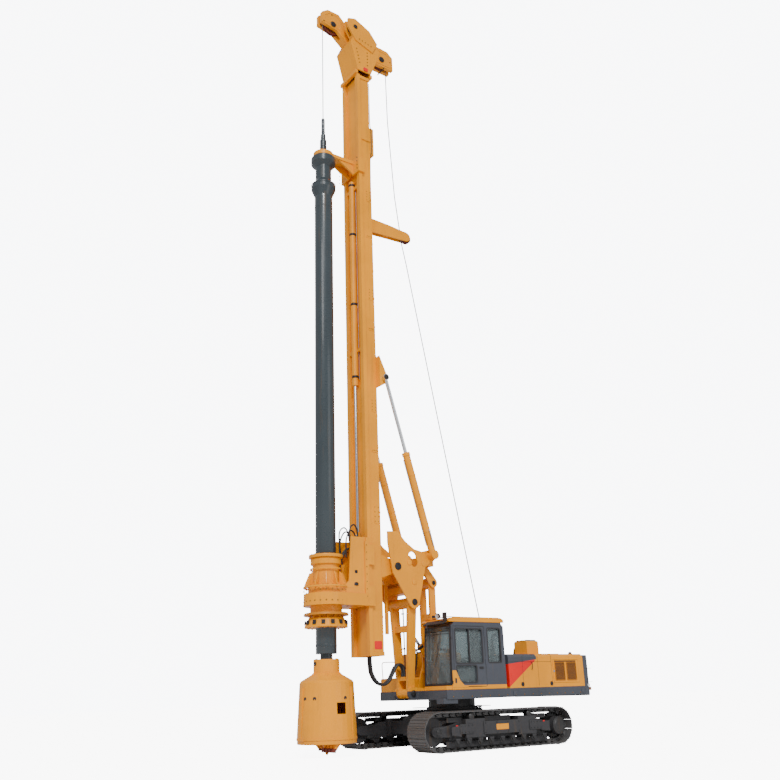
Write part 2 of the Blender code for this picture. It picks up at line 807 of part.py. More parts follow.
def right_side_boxes():
    floor = DECK_HIGH + SEAT
    outer, inner = shell(HOUSE_FRONT + RUN, 0.60, -HALF_WIDTH, -0.46, floor, 2.38, SHEET, 0.05)
    solid("hydraulic_tank", YELLOW, [outer], [inner])
    outer, inner = shell(0.60 + RUN, DECK_FRONT - 0.02, -HALF_WIDTH, -0.50, floor, 1.75, SHEET, 0.04)
    solid("tool_box", YELLOW, [outer], [inner])
    outer, inner = shell(-2.36, -1.92, 0.52, 1.02, HOUSE_TOP + SEAT, 2.62, 0.02, 0.04)
    solid("air_cleaner", YELLOW, [outer], [inner])


def winch():
    x, z = DRUM
    floor = DECK_HIGH + SEAT
    wall_in = 0.36
    plate = hull(circle(DRUM, 0.22) + [(x - 0.34, floor), (x + 0.34, floor)])
    adds = both_sides(wall_in, wall_in + 0.04, lambda a, b: prism(plate, a, b))
    adds.append(box(x - 0.34, x + 0.34, -wall_in - 0.02, wall_in + 0.02, floor, floor + 0.04))
    solid("winch_frame", DARK, adds)
    half = wall_in - SLIDE
    flange = 0.03
    profile = [
        (DRUM_FLANGE_RADIUS, -half),
        (DRUM_FLANGE_RADIUS, -half + flange),
        (DRUM_RADIUS, -half + flange),
        (DRUM_RADIUS, half - flange),
        (DRUM_FLANGE_RADIUS, half - flange),
        (DRUM_FLANGE_RADIUS, half),
    ]
    solid("winch_drum", BLACK, [turned(profile, at(DRUM), "Y", 28)], pivot=at(DRUM))


# ------------------------------------------------------------------ cab


def cab_outline(inset):
    front_low = CAB_FRONT - inset
    front_top = CAB_FRONT - CAB_FACE_LEAN - inset
    rear = CAB_REAR + inset
    top = CAB_TOP - inset
    return [
        (rear, CAB_FLOOR + inset),
        (front_low, CAB_FLOOR + inset),
        (front_top, top - 0.10),
        (front_top - 0.10, top),
        (rear + 0.10, top),
        (rear, top - 0.10),
    ]


def door_outline(gap):
    x0, x1, z0, z1 = CAB_DOOR
    cut_x, cut_z = CAB_DOOR_CHAMFER
    return [
        (x0 + cut_x, z0 + gap),
        (x1 - gap, z0 + gap),
        (x1 - gap, z1 - gap),
        (x0 + gap, z1 - gap),
        (x0 + gap, z0 + cut_z),
    ]


def face_x(z):
    """The cab's front face at a height."""
    return CAB_FRONT - CAB_FACE_LEAN * (z - CAB_FLOOR) / (CAB_TOP - 0.10 - CAB_FLOOR)


def cab():
    y0, y1 = CAB_INNER_SIDE, HALF_WIDTH
    adds = [prism(cab_outline(0), y0, y1)]
    pillar = 0.09
    cuts = [prism(cab_outline(CAB_WALL), y0 + CAB_WALL, y1 - CAB_WALL)]
    low0, low1, high0, high1 = WINDSCREEN
    for z0, z1 in ((low0, low1), (high0, high1)):
        cuts.append(box(CAB_FRONT - 0.25, CAB_FRONT + 0.1, y0 + pillar, y1 - pillar, z0, z1))
    cuts.append(prism(door_outline(0), y1 - 0.1, y1 + 0.1))
    for (x0, x1, z0, z1), ya, yb in ((SIDE_WINDOW, y1 - 0.1, y1 + 0.1), (RIGHT_WINDOW, y0 - 0.1, y0 + 0.1)):
        cuts.append(box(x0, x1, ya, yb, z0, z1))
    cuts.append(box(CAB_REAR - 0.1, CAB_REAR + 0.1, y0 + 0.15, y1 - 0.15, *REAR_WINDOW))
    leaf, leaf_cuts, frame, frame_cuts = cab_hinge()
    solid("cab", DARK, adds, cuts + frame_cuts, frame)
    over = 0.02
    roof_low = CAB_TOP + SEAT
    roof_high = roof_low + ROOF_THICKNESS
    outline = [
        (CAB_REAR - over, roof_low),
        (CAB_FRONT - 0.02, roof_low),
        (CAB_FRONT + 0.06, roof_low + 0.03),
        (CAB_FRONT - 0.06, roof_high - 0.02),
        (CAB_FRONT - 0.25, roof_high),
        (CAB_REAR + 0.08, roof_high),
        (CAB_REAR - over, roof_high - 0.05),
    ]
    solid("cab_roof", YELLOW, [prism(outline, y0 - over / 2, y1 + over / 2)])


def cab_glass():
    y0, y1 = CAB_INNER_SIDE, HALF_WIDTH
    lap = 0.03
    low, high = WINDSCREEN[0] - lap, WINDSCREEN[3] + 0.015
    sheet = [
        (face_x(low) + SEAT, low),
        (face_x(low) + SEAT + GLASS, low),
        (face_x(high) + SEAT + GLASS, high),
        (face_x(high) + SEAT, high),
    ]
    solid("windscreen", GLAZING, [prism(sheet, y0 + 0.06, y1 - 0.06)])
    x0, x1, z0, z1 = SIDE_WINDOW
    inner_face = y1 - CAB_WALL - SEAT
    solid(
        "side_window",
        GLAZING,
        [box(x0 - lap, x1 + lap, inner_face - GLASS, inner_face, z0 - lap, z1 + lap)],
    )
    x0, x1, z0, z1 = RIGHT_WINDOW
    inner_face = y0 + CAB_WALL + SEAT
    solid(
        "right_window",
        GLAZING,
        [box(x0 - lap, x1 + lap, inner_face, inner_face + GLASS, z0 - lap, z1 + lap)],
    )
    z0, z1 = REAR_WINDOW
    inner_face = CAB_REAR + CAB_WALL + SEAT
    solid(
        "rear_window",
        GLAZING,
        [box(inner_face, inner_face + GLASS, y0 + 0.15 - lap, y1 - 0.15 + lap, z0 - lap, z1 + 0.02)],
    )


def cab_door():
    y1 = HALF_WIDTH
    y0 = y1 - DOOR_WALL
    pivot = (CAB_DOOR[0], y1 + HINGE_GAP / 2, (CAB_DOOR[2] + CAB_DOOR[3]) / 2)
    leaf, cuts, frame, frame_cuts = cab_hinge()
    for x0, x1, z0, z1 in (DOOR_WINDOW, DOOR_LOW_WINDOW):
        cuts.append(box(x0, x1, y0 - 0.1, y1 + 0.1, z0, z1))
    solid("cab_door", DARK, [prism(door_outline(RUN), y0, y1)], cuts, leaf, pivot=pivot)
    lap = 0.02
    face = y0 - SEAT
    low, high = DOOR_LOW_WINDOW[2] - lap, DOOR_WINDOW[3] + lap
    outline = [
        (DOOR_LOW_WINDOW[0] - lap, low),
        (DOOR_WINDOW[1] + lap, low),
        (DOOR_WINDOW[1] + lap, high),
        (DOOR_WINDOW[0] - lap, high),
        (DOOR_WINDOW[0] - lap, DOOR_WINDOW[2] - lap),
    ]
    solid("door_glass", GLAZING, [prism(outline, face - GLASS, face)], pivot=pivot)


def seat():
    middle = (CAB_INNER_SIDE + HALF_WIDTH) / 2
    floor = CAB_FLOOR + CAB_WALL + SEAT
    top = floor + 0.30
    outline = [
        (-0.30, top - 0.01),
        (0.28, top - 0.01),
        (0.30, top + 0.14),
        (-0.16, top + 0.12),
        (-0.30, top + 0.86),
        (-0.42, top + 0.86),
        (-0.34, top + 0.10),
    ]
    solid(
        "operator_seat",
        BLACK,
        [
            box(-0.20, 0.22, middle - 0.17, middle + 0.17, floor, top),
            prism(outline, middle - 0.24, middle + 0.24),
            box(-0.24, 0.30, middle - 0.40, middle - 0.26, floor + 0.20, floor + 0.62),
            box(-0.24, 0.30, middle + 0.26, middle + 0.40, floor + 0.20, floor + 0.62),
            box(-0.10, 0.10, middle - 0.40, middle + 0.40, floor + 0.20, floor + 0.26),
        ],
    )


# ------------------------------------------------------------------ boom, link and triangle


def boom():
    foot_x, foot_z = BOOM_FOOT
    head_x, head_z = BOOM_HEAD

    def leg(side):
        low_y, high_y = BOOM_LEG_INNER + 0.05, 0.395
        sections = []
        for x, z, y, half_x in ((foot_x, foot_z, low_y, 0.10), (head_x, head_z, high_y, 0.13)):
            corners = [
                (x - half_x, y - 0.05),
                (x + half_x, y - 0.05),
                (x + half_x, y + 0.05),
                (x - half_x, y + 0.05),
            ]
            sections.append([(a, side * b, z) for a, b in corners])
        return loft(sections)

    adds = [
        disc(BOOM_FOOT, 0.115, -BOOM_FOOT_HALF, BOOM_FOOT_HALF),
        disc(BOOM_HEAD, 0.14, -BOOM_EYE_HALF, BOOM_EYE_HALF),
        leg(1),
        leg(-1),
        box(
            LUFF_HEAD[0] + 0.11, LUFF_HEAD[0] + 0.25, -0.32, 0.32, LUFF_HEAD[1] - 0.08, LUFF_HEAD[1] + 0.08
        ),
    ]
    lug = hull(
        circle(LUFF_HEAD, 0.07, 16) + [
            (LUFF_HEAD[0] + 0.13, LUFF_HEAD[1] - 0.07), (LUFF_HEAD[0] + 0.13, LUFF_HEAD[1] + 0.07)
        ]
    )
    adds += both_sides(LUFF_ROD_EYE_HALF + SLIDE, LUFF_ROD_EYE_HALF + 0.045, lambda a, b: prism(lug, a, b))
    solid("boom", YELLOW, adds, pivot=at(BOOM_FOOT))


def support_link():
    (foot_x, foot_z), (head_x, head_z) = LINK_FOOT, LINK_HEAD
    bar = hull(circle(LINK_FOOT, 0.10) + circle(LINK_HEAD, 0.10))
    adds = both_sides(LINK_INNER, LINK_OUTER, lambda a, b: prism(bar, a, b))
    adds.append(
        box(
            foot_x - 0.06,
            foot_x + 0.06,
            -LINK_INNER - 0.01,
            LINK_INNER + 0.01,
            foot_z + 1.15,
            foot_z + 1.45,
        )
    )
    adds.append(disc(LINK_HEAD, 0.15, -LINK_OUTER, LINK_OUTER))
    solid("support_link", YELLOW, adds, pivot=at(LINK_FOOT))


def triangle_frame():
    tilt_x, tilt_z = TILT_FOOT
    head_x, head_z = BOOM_HEAD
    pin_x, pin_z = MAST_PIN
    outline = (
        circle(BOOM_HEAD, 0.17, 7, -0.85 * pi, 0.75 * pi)
        + [(pin_x + 0.16, pin_z - 0.18)]
        + [(2.30, 5.10), (2.30, 5.40), (1.98, 5.42)]
        + [(1.72, 5.16), (1.45, 4.98), (1.20, 4.93)]
        + circle(TILT_FOOT, 0.17, 7, 0.55 * pi, 0.95 * pi)
        + [(1.10, 4.52)]
    )
    adds = both_sides(PLATE_INNER, PLATE_INNER + PLATE_WALL, lambda a, b: prism(outline, a, b))
    inner = PLATE_INNER + 0.01
    adds.append(box(tilt_x - 0.10, tilt_x + 0.22, -inner, inner, tilt_z - 0.28, tilt_z - 0.02))
    adds.append(box(head_x - 0.16, head_x + 0.16, -inner, inner, head_z + 0.24, head_z + 0.42))
    adds.append(box(1.30, 1.71, -inner, inner, 4.12, 4.42))
    lug = hull(circle(LINK_HEAD, 0.13) + [(tilt_x - 0.04, tilt_z - 0.24), (tilt_x + 0.20, tilt_z - 0.24)])
    adds += both_sides(LINK_OUTER + SLIDE, LINK_OUTER + 0.06, lambda a, b: prism(lug, a, b))
    prop_lug = hull(circle(PROP, 0.09, 16) + [(1.70, 4.14), (1.70, 4.40)])
    adds.append(prism(prop_lug, PROP_Y + 0.05, PROP_Y + 0.115))
    adds.append(disc(PROP, 0.12, PROP_Y - 0.065, PROP_Y + 0.065))
    adds.append(rod(at(PROP, PROP_Y), (PROP[0], PROP_Y, PROP_LOW), 0.055))
    window = hull(circle((1.52, 4.78), 0.13, 16) + circle((1.46, 4.62), 0.11, 16))
    cuts = both_sides(PLATE_INNER - 0.005, PLATE_INNER + PLATE_WALL + 0.1, lambda a, b: prism(window, a, b))
    solid("triangle_frame", YELLOW, adds, cuts, pivot=at(BOOM_HEAD))


def along(start, end, distance):
    """The (x, z) point this far from start towards end."""
    length = hypot(end[0] - start[0], end[1] - start[1])
    share = distance / length
    return (start[0] + (end[0] - start[0]) * share, start[1] + (end[1] - start[1]) * share)


def cylinder_pair(
    start, end, y, barrel_length, hidden, barrel_radius, rod_radius, eye_half, rod_eye_half, names
):
    """A hydraulic cylinder between two pins: its barrel turns about start, its rod's eye is at end."""
    barrel_end = along(start, end, barrel_length)
    bore = rod_radius + SLIDE
    body = rod(at(start, y), at(barrel_end, y), barrel_radius, 20, bore=bore, bore_from=0.30)
    eye = disc(start, barrel_radius + 0.02, y - eye_half, y + eye_half)
    solid(names[0], YELLOW, [body, eye], pivot=at(start, y))
    inner_end = along(start, end, barrel_length - hidden)
    stem = rod(at(inner_end, y), at(end, y), rod_radius, 20)
    rod_eye = disc(end, rod_radius + 0.04, y - rod_eye_half, y + rod_eye_half)
    solid(names[1], STEEL, [stem, rod_eye], pivot=at(end, y))


def cylinders():
    for side, prefix in ((1, "left"), (-1, "right")):
        cylinder_pair(
            TILT_FOOT,
            TILT_HEAD,
            side * TILT_Y,
            TILT_BARREL_LENGTH,
            TILT_ROD_HIDDEN,
            TILT_BARREL_RADIUS,
            TILT_ROD_RADIUS,
            TILT_BARREL_RADIUS + RUN - SLIDE,
            TILT_ROD_RADIUS + 0.01,
            (prefix + "_tilt_barrel", prefix + "_tilt_rod"),
        )
    cylinder_pair(
        LUFF_FOOT,
        LUFF_HEAD,
        0.0,
        LUFF_BARREL_LENGTH,
        LUFF_ROD_HIDDEN,
        LUFF_BARREL_RADIUS,
        LUFF_ROD_RADIUS,
        LUFF_EYE_HALF,
        LUFF_ROD_EYE_HALF,
        ("luff_barrel", "luff_rod"),
    )


# ------------------------------------------------------------------ mast
def mast():
    body = box(MAST_BACK, MAST_RECESS, -MAST_HALF, MAST_HALF, MAST_LOW, MAST_TOP)
    adds = [body]
    adds += both_sides(
        RAIL_HALF - RAIL_WIDTH,
        RAIL_HALF,
        lambda a, b: box(MAST_RECESS - 0.012, MAST_FRONT, a, b, MAST_LOW, MAST_TOP),
    )
    wall = MAST_WALL
    cuts = [
        box(
            MAST_BACK + wall,
            MAST_RECESS - wall - 0.012,
            -MAST_HALF + wall,
            MAST_HALF - wall,
            MAST_LOW - 0.1,
            MAST_TOP + 0.1,
        )
    ]
    # Rear lugs on the mast's lower pin.
    lug = hull(
        circle(MAST_PIN, 0.15) + [
            (MAST_BACK + 0.008, MAST_PIN[1] - 0.30), (MAST_BACK + 0.008, MAST_PIN[1] + 0.30)
        ]
    )
    adds += both_sides(0.27, MAST_HALF, lambda a, b: prism(lug, a, b))
    adds += both_sides(MAST_HALF - 0.01, PLATE_INNER - SLIDE, lambda a, b: disc(MAST_PIN, 0.11, a, b))
    # Cross box that carries the eyes of the tilt cylinders' rods.
    end = TILT_Y - TILT_ROD_RADIUS - 0.01 - SLIDE
    bracket = [
        (MAST_BACK + 0.008, TILT_HEAD[1] - 0.26),
        (TILT_HEAD[0] - 0.10, TILT_HEAD[1] - 0.12),
        (TILT_HEAD[0] - 0.10, TILT_HEAD[1] + 0.12),
        (MAST_BACK + 0.008, TILT_HEAD[1] + 0.66),
    ]
    adds.append(prism(bracket, -end, end))
    # Joint of the folding top section.
    joint_z = 17.62
    adds.append(box(MAST_BACK - 0.14, MAST_BACK + 0.008, 0.10, MAST_HALF, joint_z - 0.50, joint_z + 0.48))
    adds += both_sides(
        MAST_HALF - 0.008,
        MAST_HALF + 0.03,
        lambda a,
        b: box(MAST_BACK, MAST_RECESS, a, b, joint_z - 0.05, joint_z + 0.05),
    )
    # Foot band.
    adds += both_sides(
        MAST_HALF - 0.008,
        MAST_HALF + 0.03,
        lambda a,
        b: box(MAST_BACK, MAST_RECESS, a, b, MAST_LOW, MAST_LOW + 0.10),
    )
    solid("mast", YELLOW, adds, cuts, pivot=at(MAST_PIN))


def crowd_cylinder():
    x = CROWD_X
    bore = CROWD_ROD_RADIUS + SLIDE
    barrel = rod((x, 0, CROWD_TOP), (x, 0, CROWD_LOW), CROWD_RADIUS, 20, bore=bore, bore_from=0.25)
    clamps = [
        box(
            MAST_RECESS + SEAT,
            x - 0.02,
            -RAIL_HALF + RAIL_WIDTH + SEAT,
            RAIL_HALF - RAIL_WIDTH - SEAT,
            z,
            z + 0.10,
        )
        for z in (CROWD_LOW + 1.0, CROWD_TOP - 0.30)
    ]
    bores = [rod((x, 0, CROWD_LOW - 0.1), (x, 0, CROWD_TOP - 0.25), bore, 20)]
    solid("crowd_barrel", YELLOW, [barrel] + clamps, bores, pivot=(x, 0, CROWD_LOW))
    solid(
        "crowd_rod",
        STEEL,
        [
            rod((x, 0, CROWD_EYE), (x, 0, CROWD_LOW + 0.60), CROWD_ROD_RADIUS, 20),
            disc((x, CROWD_EYE), 0.075, -0.05, 0.05, 20),
        ],
        pivot=(x, 0, CROWD_EYE),
    )


def head():
    neck_low = MAST_TOP + SEAT
    adds = [
        box(
            MAST_BACK - 0.12,
            MAST_FRONT + 0.06,
            -RAIL_HALF - 0.02,
            RAIL_HALF + 0.02,
            neck_low,
            neck_low + 0.12,
        )
    ]
    neck = [
        (MAST_BACK - 0.05, neck_low + 0.11),
        (MAST_FRONT, neck_low + 0.11),
        (MAST_FRONT + 0.25, 21.10),
        (MAST_FRONT + 0.10, 21.45),
        (MAST_BACK - 0.40, 21.20),
        (MAST_BACK - 0.35, 20.90),
    ]
    adds.append(prism(neck, -0.36, 0.50))
    tip = KELLY_X + 0.12
    arm = [
        (1.25, 20.98),
        (2.10, 20.98),
        (2.95, 21.20),
        (tip - 0.55, 21.62),
        (tip, 21.72),
        (tip, 22.10),
        (tip - 0.22, HEAD_TOP),
        (3.35, HEAD_TOP),
        (3.10, 22.02),
        (2.10, 21.72),
        (1.45, 21.68),
        (1.25, 21.50),
    ]
    adds.append(prism(arm, -0.17, 0.17))
    side_arm = [
        (2.30, 20.98),
        (2.95, 21.20),
        (3.22, 21.62),
        (3.22, 21.95),
        (2.95, 22.05),
        (2.40, 21.80),
        (2.10, 21.40),
    ]
    adds.append(prism(side_arm, 0.29, 0.53))
    slot = 0.055
    front = (KELLY_X - MAIN_SHEAVE_RADIUS, FRONT_SHEAVE_Z)
    room = 0.035
    hollow = [
        (MAST_BACK - 0.02, neck_low - 0.1),
        (MAST_FRONT - 0.03, neck_low - 0.1),
        (MAST_FRONT - 0.03, neck_low + 0.13),
        (MAST_FRONT + 0.18, 20.92),
        (MAST_BACK - 0.28, 20.92),
        (MAST_BACK - 0.02, neck_low + 0.13),
    ]
    cuts = [
        prism(hollow, -0.32, 0.46),
        box(front[0] - MAIN_SHEAVE_RADIUS - room, tip + 0.1, -slot, slot, 21.0, HEAD_TOP + 0.1),
        box(1.0, REAR_SHEAVE[0] + MAIN_SHEAVE_RADIUS + room, -slot, slot, 20.5, 22.2),
        box(
            SIDE_SHEAVE[0] - SIDE_SHEAVE_RADIUS - room,
            3.5,
            SIDE_SHEAVE_Y - slot,
            SIDE_SHEAVE_Y + slot,
            21.38,
            22.3,
        ),
        box(2.0, 3.2, -slot, slot, 21.80, 22.5),
    ]
    solid("mast_head", YELLOW, adds, cuts)
    sheave("head_front_sheave", front, 0.0, MAIN_SHEAVE_RADIUS, slot)
    sheave("head_rear_sheave", REAR_SHEAVE, 0.0, MAIN_SHEAVE_RADIUS, slot)
    sheave("head_side_sheave", SIDE_SHEAVE, SIDE_SHEAVE_Y, SIDE_SHEAVE_RADIUS, slot)


def sheave(name, centre, y, radius, slot):
    """A grooved rope wheel, whose hub runs between its cheeks."""
    hub = slot - SLIDE
    rim = 0.035
    profile = [
        (0.07, -hub),
        (0.07, -rim),
        (radius, -rim),
        (radius - 0.035, 0),
        (radius, rim),
        (0.07, rim),
        (0.07, hub),
    ]
    solid(name, BLACK, [turned(profile, at(centre, y), "Y", 24)], pivot=at(centre, y))


def guide_bracket():
    x, z = GUIDE_SHEAVE
    slot = 0.055
    arm = hull(
        circle(GUIDE_SHEAVE, 0.15, 16) + [
            (MAST_BACK - SEAT, z - 0.22), (MAST_BACK - SEAT, z + 0.26), (1.6, z + 0.22)
        ]
    )
    adds = both_sides(slot, slot + 0.04, lambda a, b: prism(arm, a, b))
    adds.append(box(MAST_BACK - 0.06, MAST_BACK - SEAT, -0.30, 0.30, z - 0.30, z + 0.34))
    adds.append(box(1.55, 1.75, -slot - 0.02, slot + 0.02, z - 0.14, z + 0.16))
    solid("guide_bracket", YELLOW, adds)
    sheave("guide_sheave", GUIDE_SHEAVE, 0.0, GUIDE_SHEAVE_RADIUS, slot)


# ------------------------------------------------------------------ drive, kelly and bucket
def rail_claws(z0, z1, grip):
    """Side cheeks and claws that hold a slide on the mast's two rails."""
    front = MAST_FRONT + SLIDE
    cheek_in = RAIL_HALF + RUN
    cheek_out = cheek_in + 0.05
    behind = MAST_RECESS - 0.012 - RUN
    shapes = [box(front, front + grip, -cheek_out, cheek_out, z0, z1)]
    shapes += both_sides(
        cheek_in, cheek_out, lambda a, b: box(behind - 0.05, front + grip / 2, a, b, z0, z1)
    )
    shapes += both_sides(
        MAST_HALF + RUN, cheek_in + 0.01, lambda a, b: box(behind - 0.05, behind, a, b, z0, z1)
    )
    return shapes


def drive():
    grip = 0.05
    front = MAST_FRONT + SLIDE
    cheek_out = RAIL_HALF + RUN + 0.05
    adds = [box(front, front + 0.09, -cheek_out, cheek_out, DRIVE_LOW, SLEDGE_TOP)]
    adds += rail_claws(4.50, 5.02, grip)
    adds += rail_claws(DRIVE_LOW, 3.98, grip)
    brace = [
        (front + 0.08, SLEDGE_TOP),
        (front + 0.08, DRIVE_HIGH - 0.05),
        (KELLY_X - 0.22, DRIVE_HIGH - 0.05),
        (KELLY_X - 0.40, DRIVE_HIGH + 0.12),
        (front + 0.52, SLEDGE_TOP),
    ]
    adds += both_sides(0.42, 0.46, lambda a, b: prism(brace, a, b))
    adds += both_sides(
        0.05 + SEAT, 0.09, lambda a, b: box(front, front + 0.07, a, b, CROWD_EYE - 0.12, CROWD_EYE + 0.10)
    )
    plan = hull(
        circle((KELLY_X, 0), DRIVE_RADIUS, 32)
        + [(front + 0.05, -0.50), (front + 0.05, 0.50)]
    )
    tier = DRIVE_LOW + 0.30
    adds.append(prism(plan, DRIVE_LOW, tier, "Z"))
    upper = hull(
        circle((KELLY_X, 0), DRIVE_RADIUS - 0.11, 32) + [(front + 0.05, -0.46), (front + 0.05, 0.46)]
    )
    adds.append(prism(upper, tier - 0.01, DRIVE_HIGH, "Z"))
    hub = [
        (HUB_RADIUS, DRIVE_HIGH - 0.02),
        (HUB_RADIUS, DRIVE_HIGH + 0.09),
        (HUB_RADIUS - 0.05, DRIVE_HIGH + 0.10),
        (HUB_RADIUS - 0.05, HUB_TOP - 0.24),
        (HUB_RADIUS, HUB_TOP - 0.22),
        (HUB_RADIUS, HUB_TOP - 0.10),
        (HUB_RADIUS - 0.05, HUB_TOP),
    ]
    adds.append(turned(hub, (KELLY_X, 0, 0), segments=32))
    flange = [(HUB_RADIUS + 0.01, BELL_TOP + SLIDE), (HUB_RADIUS + 0.01, DRIVE_LOW + 0.01)]
    adds.append(turned(flange, (KELLY_X, 0, 0), segments=32))
    for y in (-0.30, 0.30):
        adds.append(
            rod((front + 0.28, y, DRIVE_HIGH - 0.02), (front + 0.28, y, DRIVE_HIGH + 0.62), 0.125, 18)
        )
    cuts = [
        turned([(BORE_RADIUS, BELL_TOP - 0.1), (BORE_RADIUS, HUB_TOP + 0.1)], (KELLY_X, 0, 0), segments=32)
    ]
    solid("rotary_drive", YELLOW, adds, cuts, pivot=(KELLY_X, 0, DRIVE_LOW))


def drive_bell():
    profile = [
        (HUB_RADIUS - 0.03, BELL_TOP),
        (HUB_RADIUS - 0.03, BELL_TOP - 0.03),
        (BELL_RADIUS - 0.10, BELL_TOP - 0.06),
        (BELL_RADIUS, BELL_LOW + 0.04),
        (BELL_RADIUS, BELL_LOW),
        (BORE_RADIUS, BELL_LOW),
        (BORE_RADIUS, BELL_TOP),
    ]
    solid(
        "drive_bell",
        YELLOW,
        [turned(profile, (KELLY_X, 0, 0), segments=32, closed=True)],
        pivot=(KELLY_X, 0, BELL_LOW),
    )


def kelly_bar():
    inner = KELLY_RADIUS - KELLY_WALL
    neck = 0.235
    head_low = KELLY_TOP - 1.12
    profile = [
        (0.15, BUCKET_TOP + SEAT),
        (0.15, KELLY_LOW),
        (KELLY_RADIUS, KELLY_LOW),
        (KELLY_RADIUS, KELLY_TUBE_TOP),
        (KELLY_HEAD_RADIUS, head_low + 0.04),
        (KELLY_HEAD_RADIUS, head_low + 0.14),
        (neck + 0.03, head_low + 0.30),
        (neck, head_low + 0.36),
        (neck, KELLY_TOP - 0.30),
        (KELLY_HEAD_RADIUS, KELLY_TOP - 0.20),
        (KELLY_HEAD_RADIUS, KELLY_TOP),
        (KELLY_PIN_RADIUS, KELLY_TOP),
        (KELLY_PIN_RADIUS, SWIVEL_LOW - SLIDE),
        (ROPE_BORE, SWIVEL_LOW - SLIDE),
        (ROPE_BORE, KELLY_TOP - 0.10),
        (neck - KELLY_WALL, KELLY_TOP - 0.40),
        (inner, KELLY_TUBE_TOP),
        (inner, KELLY_LOW + 0.10),
    ]
    solid(
        "kelly_bar",
        SLATE,
        [turned(profile, (KELLY_X, 0, 0), segments=32)],
        pivot=(KELLY_X, 0, KELLY_TOP),
    )


def kelly_guide():
    ring_high = GUIDE_RING_LOW + 0.13
    bore = bore_for(KELLY_PIN_RADIUS, 32)
    ring = [(0.30, GUIDE_RING_LOW), (0.30, ring_high), (bore, ring_high), (bore, GUIDE_RING_LOW)]
    adds = [turned(ring, (KELLY_X, 0, 0), segments=32, closed=True)]
    front = MAST_FRONT + SLIDE
    grip = 0.05
    adds.append(box(front + 0.02, KELLY_X - 0.20, -0.22, 0.22, GUIDE_RING_LOW + 0.01, ring_high - 0.01))
    adds += rail_claws(GUIDE_RING_LOW - 0.35, ring_high, grip)
    brace = [
        (front + 0.03, GUIDE_RING_LOW - 0.34),
        (front + 0.03, ring_high - 0.02),
        (front + 0.60, ring_high - 0.02),
        (front + 0.60, GUIDE_RING_LOW + 0.02),
    ]
    adds += both_sides(0.14, 0.19, lambda a, b: prism(brace, a, b))
    notch = CROWD_RADIUS + 0.02
    cuts = [
        box(
            MAST_RECESS, CROWD_X + CROWD_RADIUS + 0.01, -notch, notch, GUIDE_RING_LOW - 0.5, ring_high + 0.1
        ),
    ]
    solid("kelly_guide", YELLOW, adds, cuts, pivot=(KELLY_X, 0, GUIDE_RING_LOW))
    body = 0.10
    profile = [
        (0.17, ring_high + SEAT),
        (0.17, ring_high + 0.03),
        (0.15, ring_high + 0.05),
        (0.15, SWIVEL_LOW + 0.05),
        (body, SWIVEL_LOW + 0.10),
        (body, 17.30),
        (0.075, 17.36),
        (0.075, 17.50),
        (0.055, 17.56),
        (0.055, SWIVEL_TOP - 0.06),
        (0.045, SWIVEL_TOP),
        (ROPE_BORE, SWIVEL_TOP),
        (ROPE_BORE, SWIVEL_LOW + 0.02),
        (bore, SWIVEL_LOW + 0.02),
        (bore, ring_high + SEAT),
    ]
    solid(
        "kelly_swivel",
        SLATE,
        [turned(profile, (KELLY_X, 0, 0), segments=32, closed=True)],
        pivot=(KELLY_X, 0, SWIVEL_LOW),
    )


def bucket():
    wall = BUCKET_WALL
    profile = [
        (0.14, BUCKET_TOP),
        (BUCKET_NECK_RADIUS, BUCKET_TOP),
        (BUCKET_NECK_RADIUS, BUCKET_SHOULDER + 0.22),
        (BUCKET_SHOULDER_RADIUS - 0.04, BUCKET_SHOULDER + 0.05),
        (BUCKET_SHOULDER_RADIUS, BUCKET_SHOULDER),
        (BUCKET_RADIUS, BUCKET_LOW + 0.10),
        (BUCKET_RADIUS, BUCKET_LOW),
        (BUCKET_RADIUS - wall, BUCKET_LOW),
        (BUCKET_SHOULDER_RADIUS - wall, BUCKET_SHOULDER - 0.03),
        (0.14, BUCKET_SHOULDER - 0.03),
    ]
    shell_shape = turned(profile, (KELLY_X, 0, 0), segments=32, closed=True)
    top = prism(circle((KELLY_X, 0), 0.20, 24), BUCKET_SHOULDER - 0.03, BUCKET_TOP, "Z")
    leaf, leaf_cuts, frame, frame_cuts = floor_hinge()
    window = [box(KELLY_X - 0.12, KELLY_X + 0.12, 0.4, 0.9, 0.95, 1.20)]
    solid("bucket", YELLOW, [shell_shape, top], window + frame_cuts, frame, pivot=(KELLY_X, 0, BUCKET_TOP))


def floor_hinge():
    return hinge("Y", (FLOOR_PIN_X, 0, BUCKET_LOW - SLIDE), (0.0,), *FLOOR_KNUCKLE)


def bucket_floor():
    radius = BUCKET_RADIUS - 0.004
    adds = [
        turned(
            [(radius - 0.012, FLOOR_LOW), (radius, FLOOR_LOW + 0.012), (radius, FLOOR_HIGH)],
            (KELLY_X, 0, 0),
            segments=32,
        )
    ]
    for side in (-1, 1):
        for i in range(4):
            y = side * (0.14 + 0.145 * i)
            tooth = [(0.0, 0.0), (0.15, 0.0), (0.19 * 1.0, -0.16), (0.14, -0.16)]
            points = [(KELLY_X + side * (p - 0.02), FLOOR_LOW + 0.02 + q) for p, q in tooth]
            adds.append(prism(points, y - 0.045, y + 0.045))
    pilot = [(0.09, FLOOR_LOW + 0.02), (0.09, 0.16), (0.015, 0.035)]
    adds.append(turned(pilot, (KELLY_X, 0, 0), segments=12))
    leaf, leaf_cuts, frame, frame_cuts = floor_hinge()
    solid("bucket_floor", YELLOW, adds, leaf_cuts, leaf, pivot=(FLOOR_PIN_X, 0, BUCKET_LOW - SLIDE))


# ------------------------------------------------------------------ hoses


